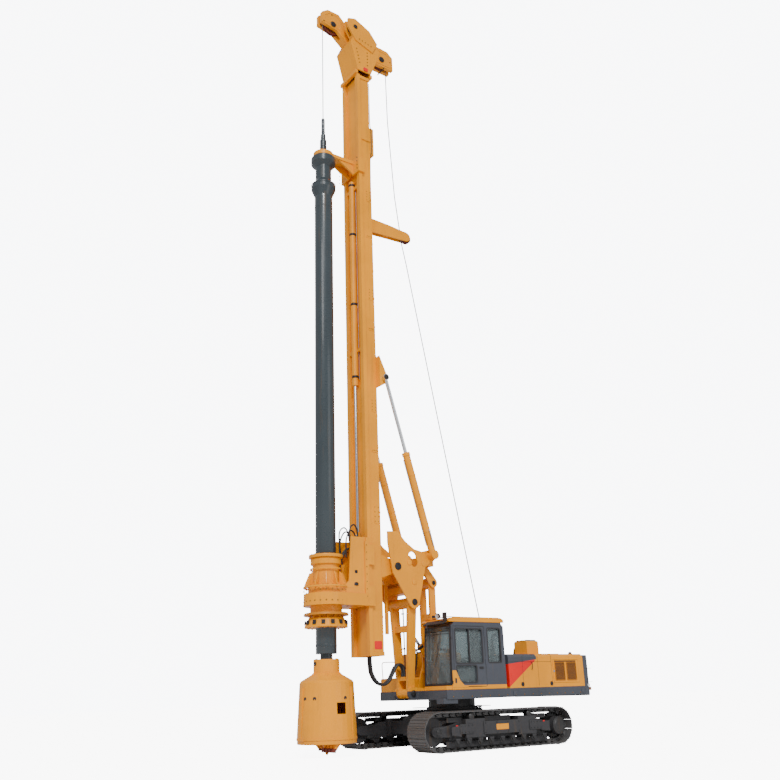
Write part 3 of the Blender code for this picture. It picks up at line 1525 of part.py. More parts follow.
def smooth_route(points, steps):
    """Points on a smooth curve through the given ones, ends leaving straight."""
    ends = [tuple(2 * a - b for a, b in zip(points[0], points[1]))]
    tail = [tuple(2 * a - b for a, b in zip(points[-1], points[-2]))]
    knots = ends + list(points) + tail
    out = []
    for i in range(1, len(knots) - 2):
        p0, p1, p2, p3 = knots[i - 1 : i + 3]
        for k in range(steps):
            t = k / steps
            out.append(
                tuple(
                    0.5 * (
                        2 * b + (c - a) * t + (
                            2 * a - 5 * b + 4 * c - d
                        ) * t * t + (3 * b - a - 3 * c + d) * t**3
                    )
                    for a, b, c, d in zip(p0, p1, p2, p3)
                )
            )
    return out + [points[-1]]


def hoses():
    route = smooth_route(HOSE_ROUTE, 2)
    for number, y in enumerate(HOSE_Y, 1):
        curve = bpy.data.curves.new("mast_hose_%d" % number, "CURVE")
        curve.dimensions = "3D"
        curve.bevel_depth = HOSE_RADIUS
        curve.bevel_resolution = 2
        curve.use_fill_caps = True
        line = curve.splines.new("POLY")
        line.points.add(len(route) - 1)
        for point, (x, z) in zip(line.points, route):
            point.co = (x, y, z, 1)
        made = bpy.data.objects.new("mast_hose_%d" % number, curve)
        made.parent = MACHINE
        bpy.context.scene.collection.objects.link(made)
        curve.materials.append(material("hose_finish", BLACK, 0.6, 0.0))


def build():
    carbody()
    for side in (1, -1):
        chain_inner = track(side)
        idler_and_sprocket(side, chain_inner)
        track_frame(side, chain_inner)
    slew_ring()
    deck()
    engine_house()
    service_doors()
    counterweight()
    engine()
    right_side_boxes()
    winch()
    cab()
    cab_glass()
    cab_door()
    seat()
    boom()
    support_link()
    triangle_frame()
    cylinders()
    mast()
    crowd_cylinder()
    head()
    guide_bracket()
    drive()
    drive_bell()
    kelly_bar()
    kelly_guide()
    bucket()
    bucket_floor()
    hoses()


for old in list(bpy.data.objects):
    bpy.data.objects.remove(old)
MACHINE = bpy.data.objects.new("machine", None)
bpy.context.scene.collection.objects.link(MACHINE)
MACHINE.location = SHIFT
build()
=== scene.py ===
"""Looks of a rotary piling rig: paint, tracks, glass, ropes, hoses and fittings round its fixed frame.

Shapes are drawn in machine coordinates, x forward, y to the left and z up, from the slewing axis
on the ground. Kit.finish moves them to the frame's own origin.
"""
import json

import bmesh
import bpy
from math import atan2, cos, hypot, pi, radians, sin
from mathutils import Matrix, Vector
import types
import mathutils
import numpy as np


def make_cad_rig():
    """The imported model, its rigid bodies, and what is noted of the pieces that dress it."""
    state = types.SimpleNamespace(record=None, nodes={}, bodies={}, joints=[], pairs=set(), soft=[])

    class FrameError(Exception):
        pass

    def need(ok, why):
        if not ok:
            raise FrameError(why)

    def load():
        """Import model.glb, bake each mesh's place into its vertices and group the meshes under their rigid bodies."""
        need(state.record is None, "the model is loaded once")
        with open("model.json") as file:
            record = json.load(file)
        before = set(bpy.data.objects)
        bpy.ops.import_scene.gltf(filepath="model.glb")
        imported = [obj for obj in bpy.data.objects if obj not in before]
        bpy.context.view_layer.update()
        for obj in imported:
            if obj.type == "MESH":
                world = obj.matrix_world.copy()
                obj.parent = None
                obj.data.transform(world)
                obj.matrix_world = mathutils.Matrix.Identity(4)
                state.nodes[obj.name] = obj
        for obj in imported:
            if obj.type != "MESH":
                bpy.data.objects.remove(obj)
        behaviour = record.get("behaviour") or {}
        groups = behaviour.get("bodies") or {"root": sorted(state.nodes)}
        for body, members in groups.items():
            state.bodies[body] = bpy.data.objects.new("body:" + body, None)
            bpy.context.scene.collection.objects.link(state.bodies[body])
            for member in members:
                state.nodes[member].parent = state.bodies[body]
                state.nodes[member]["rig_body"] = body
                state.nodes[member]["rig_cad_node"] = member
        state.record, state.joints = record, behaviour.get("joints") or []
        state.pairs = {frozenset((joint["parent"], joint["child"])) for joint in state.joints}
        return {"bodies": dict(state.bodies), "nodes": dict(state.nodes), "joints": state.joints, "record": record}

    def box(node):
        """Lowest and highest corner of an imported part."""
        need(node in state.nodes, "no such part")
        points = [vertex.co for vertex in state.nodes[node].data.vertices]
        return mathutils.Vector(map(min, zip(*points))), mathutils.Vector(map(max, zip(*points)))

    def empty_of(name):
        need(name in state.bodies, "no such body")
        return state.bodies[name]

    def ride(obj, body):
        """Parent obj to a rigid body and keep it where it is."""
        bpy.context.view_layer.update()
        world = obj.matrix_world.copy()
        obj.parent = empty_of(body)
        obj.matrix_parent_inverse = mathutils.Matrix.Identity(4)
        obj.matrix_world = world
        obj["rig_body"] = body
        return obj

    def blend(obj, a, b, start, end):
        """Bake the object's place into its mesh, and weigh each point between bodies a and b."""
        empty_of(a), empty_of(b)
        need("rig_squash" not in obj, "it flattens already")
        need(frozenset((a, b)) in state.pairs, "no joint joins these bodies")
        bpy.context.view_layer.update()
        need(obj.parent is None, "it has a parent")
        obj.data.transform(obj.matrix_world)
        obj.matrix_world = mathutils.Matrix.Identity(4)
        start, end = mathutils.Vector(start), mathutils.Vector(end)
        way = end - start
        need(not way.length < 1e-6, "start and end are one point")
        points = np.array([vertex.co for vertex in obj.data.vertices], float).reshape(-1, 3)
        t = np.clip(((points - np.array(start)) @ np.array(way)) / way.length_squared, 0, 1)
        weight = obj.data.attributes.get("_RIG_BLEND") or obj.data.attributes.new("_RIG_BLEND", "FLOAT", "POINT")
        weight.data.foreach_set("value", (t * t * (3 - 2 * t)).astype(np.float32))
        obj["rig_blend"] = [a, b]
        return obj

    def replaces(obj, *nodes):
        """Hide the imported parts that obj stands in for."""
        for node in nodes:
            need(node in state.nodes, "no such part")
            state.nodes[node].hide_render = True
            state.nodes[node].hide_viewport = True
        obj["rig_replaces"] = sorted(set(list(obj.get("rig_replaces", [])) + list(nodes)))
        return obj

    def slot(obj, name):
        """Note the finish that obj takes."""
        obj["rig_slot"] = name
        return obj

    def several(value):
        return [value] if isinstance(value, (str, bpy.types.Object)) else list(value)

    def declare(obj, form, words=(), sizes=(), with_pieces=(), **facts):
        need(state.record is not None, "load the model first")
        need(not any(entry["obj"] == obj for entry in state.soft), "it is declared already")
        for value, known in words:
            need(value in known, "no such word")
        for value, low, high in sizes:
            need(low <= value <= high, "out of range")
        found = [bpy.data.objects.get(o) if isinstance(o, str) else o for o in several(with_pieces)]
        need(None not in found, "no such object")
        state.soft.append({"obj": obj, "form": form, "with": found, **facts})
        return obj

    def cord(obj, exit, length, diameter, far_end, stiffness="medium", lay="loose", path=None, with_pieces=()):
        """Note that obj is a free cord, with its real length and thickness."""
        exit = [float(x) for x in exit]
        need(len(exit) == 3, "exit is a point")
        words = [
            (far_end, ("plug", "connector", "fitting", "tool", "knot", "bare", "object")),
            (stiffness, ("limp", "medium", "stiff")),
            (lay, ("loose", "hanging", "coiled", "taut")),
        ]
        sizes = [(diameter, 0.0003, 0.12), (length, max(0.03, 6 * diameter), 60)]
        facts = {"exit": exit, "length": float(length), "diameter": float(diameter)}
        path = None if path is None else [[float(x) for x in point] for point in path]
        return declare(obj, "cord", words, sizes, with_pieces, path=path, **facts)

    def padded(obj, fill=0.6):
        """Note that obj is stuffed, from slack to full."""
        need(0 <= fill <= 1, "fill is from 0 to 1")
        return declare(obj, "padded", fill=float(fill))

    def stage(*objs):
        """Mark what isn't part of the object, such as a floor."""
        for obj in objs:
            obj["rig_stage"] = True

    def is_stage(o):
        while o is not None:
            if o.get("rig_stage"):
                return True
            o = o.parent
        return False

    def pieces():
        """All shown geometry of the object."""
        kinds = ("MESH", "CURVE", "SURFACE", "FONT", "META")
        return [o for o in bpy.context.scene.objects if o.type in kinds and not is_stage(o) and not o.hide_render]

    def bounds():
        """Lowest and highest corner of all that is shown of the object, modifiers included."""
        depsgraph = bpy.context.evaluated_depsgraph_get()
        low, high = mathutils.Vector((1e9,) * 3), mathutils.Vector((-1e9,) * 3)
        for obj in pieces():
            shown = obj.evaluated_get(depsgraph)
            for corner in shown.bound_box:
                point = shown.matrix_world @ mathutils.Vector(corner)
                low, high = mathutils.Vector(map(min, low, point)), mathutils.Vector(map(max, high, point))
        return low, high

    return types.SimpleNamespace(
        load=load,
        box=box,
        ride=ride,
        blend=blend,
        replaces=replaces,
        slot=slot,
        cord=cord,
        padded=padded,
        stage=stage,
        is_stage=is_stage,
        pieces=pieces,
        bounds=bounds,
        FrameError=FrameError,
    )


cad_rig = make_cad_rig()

bl_info = {
    "name": "Rotary piling rig looks",
    "version": (1, 0, 0),
    "blender": (4, 5, 0),
    "location": "View3D > Sidebar > Rig",
    "description": "Adds the paint, fittings, glass, ropes and hoses of a rotary piling rig",
    "category": "Object",
}

for left_over in list(bpy.data.objects):
    bpy.data.objects.remove(left_over)
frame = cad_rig.load()
CAD_BOX = [list(corner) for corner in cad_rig.bounds()]
NODES = frame["nodes"]


def centre_of(node):
    low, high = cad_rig.box(node)
    return (low + high) / 2


AXIS_X = centre_of("slew_ring").x


def span(node):
    """A CAD node's lowest and highest corners, in machine coordinates."""
    low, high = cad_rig.box(node)
    back = Vector((AXIS_X, 0, 0))
    return low - back, high - back


# ------------------------------------------------------------------ measures read from the frame
KELLY = centre_of("kelly_bar").x - AXIS_X
HOUSE_LOW, HOUSE_HIGH = span("engine_house")
CAB_LOW = span("cab")[0]
ROOF_HIGH = span("cab_roof")[1]
MAST_HALF_WIDTH = 0.40
TAIL_LOW, TAIL_HIGH = span("counterweight")
TRACK_LOW, TRACK_HIGH = span("left_track")
TRACK_MIDDLE = (TRACK_LOW.y + TRACK_HIGH.y) / 2
TRACK_RADIUS = TRACK_HIGH.z / 2
WHEEL_X = TRACK_HIGH.x - TRACK_RADIUS
SIDE = HOUSE_HIGH.y
FLOOR_OF_HOUSE = HOUSE_LOW.z


# ------------------------------------------------------------------ settings
class RigPaint(bpy.types.PropertyGroup):
    """Colours of the machine's finishes."""

    yellow: bpy.props.FloatVectorProperty(
        name="Machine yellow",
        description="Main paint colour",
        subtype="COLOR",
        size=3,
        min=0,
        max=1,
        default=(0.86, 0.315, 0.0),
    )
    grey: bpy.props.FloatVectorProperty(
        name="Machine grey",
        description="Paint of the deck, counterweight and cab",
        subtype="COLOR",
        size=3,
        min=0,
        max=1,
        default=(0.060, 0.066, 0.082),
    )
    slate: bpy.props.FloatVectorProperty(
        name="Kelly slate",
        description="Paint of the kelly bar",
        subtype="COLOR",
        size=3,
        min=0,
        max=1,
        default=(0.036, 0.048, 0.055),
    )
    red: bpy.props.FloatVectorProperty(
        name="Stripe red",
        description="Stripe on the engine house and marks on the crawlers",
        subtype="COLOR",
        size=3,
        min=0,
        max=1,
        default=(0.80, 0.010, 0.008),
    )
    dust: bpy.props.FloatProperty(
        name="Dust",
        description="How much dry dust lies on the paint",
        min=0,
        max=1,
        default=0.07,
        subtype="FACTOR",
    )


class RigSizes(bpy.types.PropertyGroup):
    """Sizes of the fittings."""

    shoes: bpy.props.IntProperty(
        name="Track shoes",
        description="Shoes on each crawler",
        min=20,
        max=80,
        default=50,
    )
    rope: bpy.props.FloatProperty(
        name="Rope diameter",
        description="Diameter of the kelly rope",
        min=0.01,
        max=0.05,
        default=0.030,
        unit="LENGTH",
    )
    bolt: bpy.props.FloatProperty(
        name="Bolt head",
        description="Radius of a common bolt's head",
        min=0.005,
        max=0.05,
        default=0.020,
        unit="LENGTH",
    )
    rail: bpy.props.FloatProperty(
        name="Handrail diameter",
        description="Diameter of the handrail tube",
        min=0.02,
        max=0.06,
        default=0.034,
        unit="LENGTH",
    )


# ------------------------------------------------------------------ shader node groups
def shader_group(name, inputs, outputs):
    tree = bpy.data.node_groups.new(name, "ShaderNodeTree")
    for label, kind, default in inputs:
        socket = tree.interface.new_socket(label, in_out="INPUT", socket_type=kind)
        socket.default_value = default
    for label, kind in outputs:
        tree.interface.new_socket(label, in_out="OUTPUT", socket_type=kind)
    return tree, tree.nodes.new("NodeGroupInput"), tree.nodes.new("NodeGroupOutput")


def math_node(tree, operation, first, second=None, clamp=False):
    node = tree.nodes.new("ShaderNodeMath")
    node.operation = operation
    node.use_clamp = clamp
    for socket, value in zip(node.inputs, (first, second)):
        if isinstance(value, bpy.types.NodeSocket):
            tree.links.new(value, socket)
        elif value is not None:
            socket.default_value = value
    return node.outputs[0]


def mix_colour(tree, factor, first, second, blend="MIX"):
    node = tree.nodes.new("ShaderNodeMix")
    node.data_type = "RGBA"
    node.blend_type = blend
    sockets = {s.identifier: s for s in node.inputs}
    for key, value in (("Factor_Float", factor), ("A_Color", first), ("B_Color", second)):
        if isinstance(value, bpy.types.NodeSocket):
            tree.links.new(value, sockets[key])
        elif key == "Factor_Float":
            sockets[key].default_value = value
        else:
            sockets[key].default_value = (*value[:3], 1.0)
    return next(s for s in node.outputs if s.identifier == "Result_Color")


def noise(tree, vector, scale, detail=4.0, roughness=0.55, stretch=None):
    """A noise between 0 and 1 on object coordinates, stretched where a size for each axis is given."""
    if stretch:
        mapping = tree.nodes.new("ShaderNodeMapping")
        mapping.inputs["Scale"].default_value = stretch
        tree.links.new(vector, mapping.inputs["Vector"])
        vector = mapping.outputs["Vector"]
    node = tree.nodes.new("ShaderNodeTexNoise")
    node.inputs["Scale"].default_value = scale
    node.inputs["Detail"].default_value = detail
    node.inputs["Roughness"].default_value = roughness
    tree.links.new(vector, node.inputs["Vector"])
    return node.outputs["Fac"]


def map_range(tree, value, low, high, out_low=0.0, out_high=1.0):
    node = tree.nodes.new("ShaderNodeMapRange")
    node.interpolation_type = "SMOOTHSTEP"
    for key, number in (("From Min", low), ("From Max", high), ("To Min", out_low), ("To Max", out_high)):
        node.inputs[key].default_value = number
    tree.links.new(value, node.inputs["Value"])
    return node.outputs["Result"]


def make_weathering():
    """Dust, streaks, chips and mottling on any hard finish."""
    tree, source, sink = shader_group(
        "weathering",
        [
            ("Colour", "NodeSocketColor", (0.5, 0.5, 0.5, 1)),
            ("Dust", "NodeSocketFloat", 0.2),
            ("Wear", "NodeSocketFloat", 0.2),
            ("Gloss", "NodeSocketFloat", 0.35),
            ("Bare Metal", "NodeSocketColor", (0.22, 0.20, 0.18, 1)),
        ],
        [
            ("Colour", "NodeSocketColor"),
            ("Roughness", "NodeSocketFloat"),
            ("Metal", "NodeSocketFloat"),
            ("Height", "NodeSocketFloat"),
        ],
    )
    place = tree.nodes.new("ShaderNodeTexCoord").outputs["Object"]
    parts = tree.nodes.new("ShaderNodeSeparateXYZ")
    tree.links.new(place, parts.inputs[0])
    broad = noise(tree, place, 0.9, 5)
    mottle = noise(tree, place, 14.0, 6, 0.65)
    streak = noise(tree, place, 1.0, 5, 0.6, (9.0, 9.0, 0.55))
    shade = map_range(tree, broad, 0.3, 0.7, 0.90, 1.06)
    toned = tree.nodes.new("ShaderNodeVectorMath")
    toned.operation = "SCALE"
    tree.links.new(source.outputs["Colour"], toned.inputs[0])
    tree.links.new(shade, toned.inputs["Scale"])
    grime = math_node(tree, "MULTIPLY", map_range(tree, streak, 0.55, 0.80), 0.30)
    stained = mix_colour(tree, grime, toned.outputs[0], (0.20, 0.10, 0.02))
    low_down = map_range(tree, parts.outputs["Z"], 0.0, 5.0, 1.0, 0.25)
    upward = tree.nodes.new("ShaderNodeNewGeometry")
    facing = tree.nodes.new("ShaderNodeSeparateXYZ")
    tree.links.new(upward.outputs["Normal"], facing.inputs[0])
    flat = map_range(tree, facing.outputs["Z"], 0.3, 0.95, 0.35, 1.0)
    patches = map_range(tree, mottle, 0.40, 0.72)
    dust = math_node(tree, "MULTIPLY", low_down, flat)
    dust = math_node(tree, "MULTIPLY", dust, map_range(tree, patches, 0.0, 1.0, 0.45, 1.0))
    dust = math_node(tree, "MULTIPLY", dust, source.outputs["Dust"], True)
    dusty = mix_colour(tree, dust, stained, (0.36, 0.31, 0.24))
    rounded = tree.nodes.new("ShaderNodeBevel")
    rounded.samples = 3
    rounded.inputs["Radius"].default_value = 0.011
    aligned = tree.nodes.new("ShaderNodeVectorMath")
    aligned.operation = "DOT_PRODUCT"
    tree.links.new(rounded.outputs[0], aligned.inputs[0])
    tree.links.new(upward.outputs["True Normal"], aligned.inputs[1])
    edge = map_range(tree, aligned.outputs["Value"], 0.995, 0.86)
    chips = map_range(tree, noise(tree, place, 38.0, 5, 0.7), 0.56, 0.66)
    chips = math_node(
        tree, "MULTIPLY", math_node(tree, "MULTIPLY", edge, chips), source.outputs["Wear"], True
    )
    worn = mix_colour(tree, chips, dusty, source.outputs["Bare Metal"])
    rough = math_node(tree, "ADD", source.outputs["Gloss"], math_node(tree, "MULTIPLY", dust, 0.55))
    rough = math_node(tree, "ADD", rough, map_range(tree, mottle, 0.3, 0.7, -0.05, 0.06), True)
    height = math_node(
        tree, "SUBTRACT", math_node(tree, "MULTIPLY", mottle, 0.25), math_node(tree, "MULTIPLY", chips, 0.6)
    )
    tree.links.new(worn, sink.inputs["Colour"])
    tree.links.new(rough, sink.inputs["Roughness"])
    tree.links.new(math_node(tree, "MULTIPLY", chips, 0.7), sink.inputs["Metal"])
    tree.links.new(height, sink.inputs["Height"])
    return tree


def make_half_plane():
    """1 on the side of a slanted line where across x plus up z is above the level, else 0."""
    tree, source, sink = shader_group(
        "half_plane",
        [
            ("Across", "NodeSocketFloat", 1.0),
            ("Up", "NodeSocketFloat", 0.0),
            ("Level", "NodeSocketFloat", 0.0),
        ],
        [("Mask", "NodeSocketFloat")],
    )
    parts = tree.nodes.new("ShaderNodeSeparateXYZ")
    tree.links.new(tree.nodes.new("ShaderNodeTexCoord").outputs["Object"], parts.inputs[0])
    x = math_node(tree, "MULTIPLY", parts.outputs["X"], source.outputs["Across"])
    z = math_node(tree, "MULTIPLY", parts.outputs["Z"], source.outputs["Up"])
    over = math_node(tree, "SUBTRACT", math_node(tree, "ADD", x, z), source.outputs["Level"])
    tree.links.new(map_range(tree, over, -0.003, 0.003), sink.inputs["Mask"])
    return tree


GROUPS = {}


def group(name):
    makers = {"weathering": make_weathering, "half_plane": make_half_plane}
    if name not in GROUPS:
        GROUPS[name] = makers[name]()
    return GROUPS[name]


# ------------------------------------------------------------------ materials
def blank_material(name):
    made = bpy.data.materials.new(name)
    made.use_nodes = True
    return made, made.node_tree, made.node_tree.nodes["Principled BSDF"]


def weathered(
    name,
    colour,
    dust=0.18,
    wear=0.25,
    gloss=0.34,
    metallic=0.0,
    bump=0.05,
    coat=0.0,
    bare=(0.22, 0.20, 0.18),
):
    """A hard finish with dust, streaks and chipped edges. The colour may be a node socket's maker."""
    made, tree, shader = blank_material(name)
    node = tree.nodes.new("ShaderNodeGroup")
    node.node_tree = group("weathering")
    if callable(colour):
        tree.links.new(colour(tree), node.inputs["Colour"])
    else:
        node.inputs["Colour"].default_value = (*colour, 1)
    node.inputs["Dust"].default_value = dust
    node.inputs["Wear"].default_value = wear
    node.inputs["Gloss"].default_value = gloss
    node.inputs["Bare Metal"].default_value = (*bare, 1)
    tree.links.new(node.outputs["Colour"], shader.inputs["Base Color"])
    tree.links.new(node.outputs["Roughness"], shader.inputs["Roughness"])
    if metallic:
        shader.inputs["Metallic"].default_value = metallic
    else:
        tree.links.new(node.outputs["Metal"], shader.inputs["Metallic"])
    bump_node = tree.nodes.new("ShaderNodeBump")
    bump_node.inputs["Strength"].default_value = bump
    bump_node.inputs["Distance"].default_value = 0.01
    tree.links.new(node.outputs["Height"], bump_node.inputs["Height"])
    soft = tree.nodes.new("ShaderNodeBevel")
    soft.samples = 3
    soft.inputs["Radius"].default_value = 0.008
    tree.links.new(soft.outputs[0], bump_node.inputs["Normal"])
    tree.links.new(bump_node.outputs[0], shader.inputs["Normal"])
    shader.inputs["Specular IOR Level"].default_value = 0.28
    if coat:
        shader.inputs["Coat Weight"].default_value = coat
        shader.inputs["Coat Roughness"].default_value = 0.12
    return made


def plane_mask(tree, across, up, level):
    """A half-plane mask, with its level in machine coordinates."""
    node = tree.nodes.new("ShaderNodeGroup")
    node.node_tree = group("half_plane")
    node.inputs["Across"].default_value = across
    node.inputs["Up"].default_value = up
    node.inputs["Level"].default_value = level + across * AXIS_X
    return node.outputs["Mask"]


def line_through(start, end):
    """across, up and level of the half plane above the line through two (x, z) points."""
    (x0, z0), (x1, z1) = start, end
    across, up = (z0 - z1), (x1 - x0)
    size = hypot(across, up) * (1 if up > 0 else -1)
    across, up = across / size, up / size
    return across, up, across * x0 + up * z0


STRIPE_FOOT = (HOUSE_HIGH.x, FLOOR_OF_HOUSE + 0.03)
STRIPE_TIP = (HOUSE_HIGH.x - 0.97, HOUSE_HIGH.z - 0.19)
GREY_END = HOUSE_HIGH.x - 1.02
BAND_LOW = HOUSE_HIGH.z - 0.17


def house_colour(tree):
    """Yellow panels with a red wedge rising behind the cab and a grey band above it."""
    paint = bpy.context.scene.rig_paint
    wedge = plane_mask(tree, *line_through(STRIPE_FOOT, STRIPE_TIP))
    coloured = mix_colour(tree, wedge, tuple(paint.yellow), tuple(paint.red))
    tail = plane_mask(tree, -1, 0, -(STRIPE_TIP[0] + 0.01))
    coloured = mix_colour(tree, tail, coloured, tuple(paint.yellow))
    band = plane_mask(
        tree, *line_through((HOUSE_HIGH.x, BAND_LOW - 0.10), (STRIPE_TIP[0], BAND_LOW + 0.01))
    )
    front = plane_mask(tree, 1, 0, GREY_END)
    return mix_colour(tree, math_node(tree, "MULTIPLY", band, front), coloured, tuple(paint.grey))


def cab_colour(tree):
    """Grey cab with a yellow sill."""
    paint = bpy.context.scene.rig_paint
    above = plane_mask(tree, 0, 1, FLOOR_OF_HOUSE + 0.10)
    return mix_colour(tree, above, tuple(paint.yellow), tuple(paint.grey))


def deck_colour(tree):
    """Grey skirt below, yellow boom ears above."""
    paint = bpy.context.scene.rig_paint
    above = plane_mask(tree, 0, 1, FLOOR_OF_HOUSE + 0.004)
    return mix_colour(tree, above, tuple(paint.grey), tuple(paint.yellow))


def make_glass():
    made, tree, shader = blank_material("cab_glass")
    shader.inputs["Base Color"].default_value = (0.46, 0.54, 0.55, 1)
    shader.inputs["Transmission Weight"].default_value = 0.86
    shader.inputs["Roughness"].default_value = 0.03
    shader.inputs["IOR"].default_value = 1.25
    shader.inputs["Coat Weight"].default_value = 0.35
    place = tree.nodes.new("ShaderNodeTexCoord").outputs["Object"]
    smear = map_range(tree, noise(tree, place, 2.2, 6, 0.6, (1, 1, 0.4)), 0.35, 0.75, 0.015, 0.12)
    tree.links.new(smear, shader.inputs["Roughness"])
    return made


def make_lamp_glass():
    made, tree, shader = blank_material("lamp_glass")
    shader.inputs["Base Color"].default_value = (0.85, 0.87, 0.88, 1)
    shader.inputs["Metallic"].default_value = 0.6
    place = tree.nodes.new("ShaderNodeTexCoord").outputs["Object"]
    wave = tree.nodes.new("ShaderNodeTexWave")
    wave.inputs["Scale"].default_value = 60.0
    tree.links.new(place, wave.inputs["Vector"])
    bump = tree.nodes.new("ShaderNodeBump")
    bump.inputs["Strength"].default_value = 0.5
    tree.links.new(wave.outputs["Fac"], bump.inputs["Height"])
    tree.links.new(bump.outputs[0], shader.inputs["Normal"])
    tree.links.new(map_range(tree, wave.outputs["Fac"], 0, 1, 0.08, 0.2), shader.inputs["Roughness"])
    return made


def make_rod_chrome():
    made, tree, shader = blank_material("rod_chrome")
    shader.inputs["Metallic"].default_value = 1.0
    place = tree.nodes.new("ShaderNodeTexCoord").outputs["Object"]
    rings = noise(tree, place, 1.0, 4, 0.6, (3, 3, 220))
    shade = mix_colour(tree, map_range(tree, rings, 0.3, 0.7), (0.70, 0.72, 0.74), (0.84, 0.85, 0.86))
    tree.links.new(shade, shader.inputs["Base Color"])
    tree.links.new(map_range(tree, rings, 0.3, 0.7, 0.10, 0.22), shader.inputs["Roughness"])
    return made


def make_rubber():
    made, tree, shader = blank_material("hose_rubber")
    place = tree.nodes.new("ShaderNodeTexCoord").outputs["Object"]
    grain = noise(tree, place, 60.0, 5, 0.6)
    shade = mix_colour(
        tree, map_range(tree, grain, 0.3, 0.75), (0.010, 0.010, 0.011), (0.035, 0.034, 0.033)
    )
    tree.links.new(shade, shader.inputs["Base Color"])
    tree.links.new(map_range(tree, grain, 0.3, 0.7, 0.42, 0.62), shader.inputs["Roughness"])
    bump = tree.nodes.new("ShaderNodeBump")
    bump.inputs["Strength"].default_value = 0.12
    bump.inputs["Distance"].default_value = 0.004
    tree.links.new(grain, bump.inputs["Height"])
    tree.links.new(bump.outputs[0], shader.inputs["Normal"])
    return made


def make_rope_steel():
    made, tree, shader = blank_material("rope_steel")
    shader.inputs["Metallic"].default_value = 0.75
    place = tree.nodes.new("ShaderNodeTexCoord").outputs["Object"]
    turn = tree.nodes.new("ShaderNodeMapping")
    turn.inputs["Rotation"].default_value = (0.6, 0.5, 0)
    tree.links.new(place, turn.inputs["Vector"])
    wave = tree.nodes.new("ShaderNodeTexWave")
    wave.inputs["Scale"].default_value = 45.0
    tree.links.new(turn.outputs["Vector"], wave.inputs["Vector"])
    shade = mix_colour(tree, wave.outputs["Fac"], (0.16, 0.16, 0.165), (0.42, 0.42, 0.43))
    tree.links.new(shade, shader.inputs["Base Color"])
    tree.links.new(map_range(tree, wave.outputs["Fac"], 0, 1, 0.6, 0.35), shader.inputs["Roughness"])
    bump = tree.nodes.new("ShaderNodeBump")
    bump.inputs["Strength"].default_value = 0.6
    bump.inputs["Distance"].default_value = 0.004
    tree.links.new(wave.outputs["Fac"], bump.inputs["Height"])
    tree.links.new(bump.outputs[0], shader.inputs["Normal"])
    return made


def make_seat_fabric():
    made, tree, shader = blank_material("seat_fabric")
    shader.inputs["Sheen Weight"].default_value = 0.4
    shader.inputs["Sheen Roughness"].default_value = 0.5
    place = tree.nodes.new("ShaderNodeTexCoord").outputs["Object"]
    weave = tree.nodes.new("ShaderNodeTexChecker")
    weave.inputs["Scale"].default_value = 320.0
    tree.links.new(place, weave.inputs["Vector"])
    fibre = noise(tree, place, 180.0, 4, 0.6)
    base = mix_colour(tree, map_range(tree, fibre, 0.3, 0.7), (0.020, 0.021, 0.024), (0.055, 0.056, 0.062))
    shade = mix_colour(
        tree, math_node(tree, "MULTIPLY", weave.outputs["Fac"], 0.3), base, (0.075, 0.078, 0.09)
    )
    tree.links.new(shade, shader.inputs["Base Color"])
    shader.inputs["Roughness"].default_value = 0.85
    bump = tree.nodes.new("ShaderNodeBump")
    bump.inputs["Strength"].default_value = 0.25
    bump.inputs["Distance"].default_value = 0.002
    tree.links.new(fibre, bump.inputs["Height"])
    tree.links.new(bump.outputs[0], shader.inputs["Normal"])
    return made


def make_plastic(name, colour, rough):
    made, tree, shader = blank_material(name)
    place = tree.nodes.new("ShaderNodeTexCoord").outputs["Object"]
    grain = noise(tree, place, 220.0, 3, 0.6)
    light = tuple(min(1.0, c * 1.35 + 0.004) for c in colour)
    tree.links.new(
        mix_colour(tree, map_range(tree, grain, 0.35, 0.7), colour, light), shader.inputs["Base Color"]
    )
    tree.links.new(map_range(tree, grain, 0.3, 0.7, rough - 0.06, rough + 0.08), shader.inputs["Roughness"])
    bump = tree.nodes.new("ShaderNodeBump")
    bump.inputs["Strength"].default_value = 0.12
    bump.inputs["Distance"].default_value = 0.002
    tree.links.new(grain, bump.inputs["Height"])
    tree.links.new(bump.outputs[0], shader.inputs["Normal"])
    return made


MATERIALS = {}


def finish_of(name):
    return MATERIALS[name]


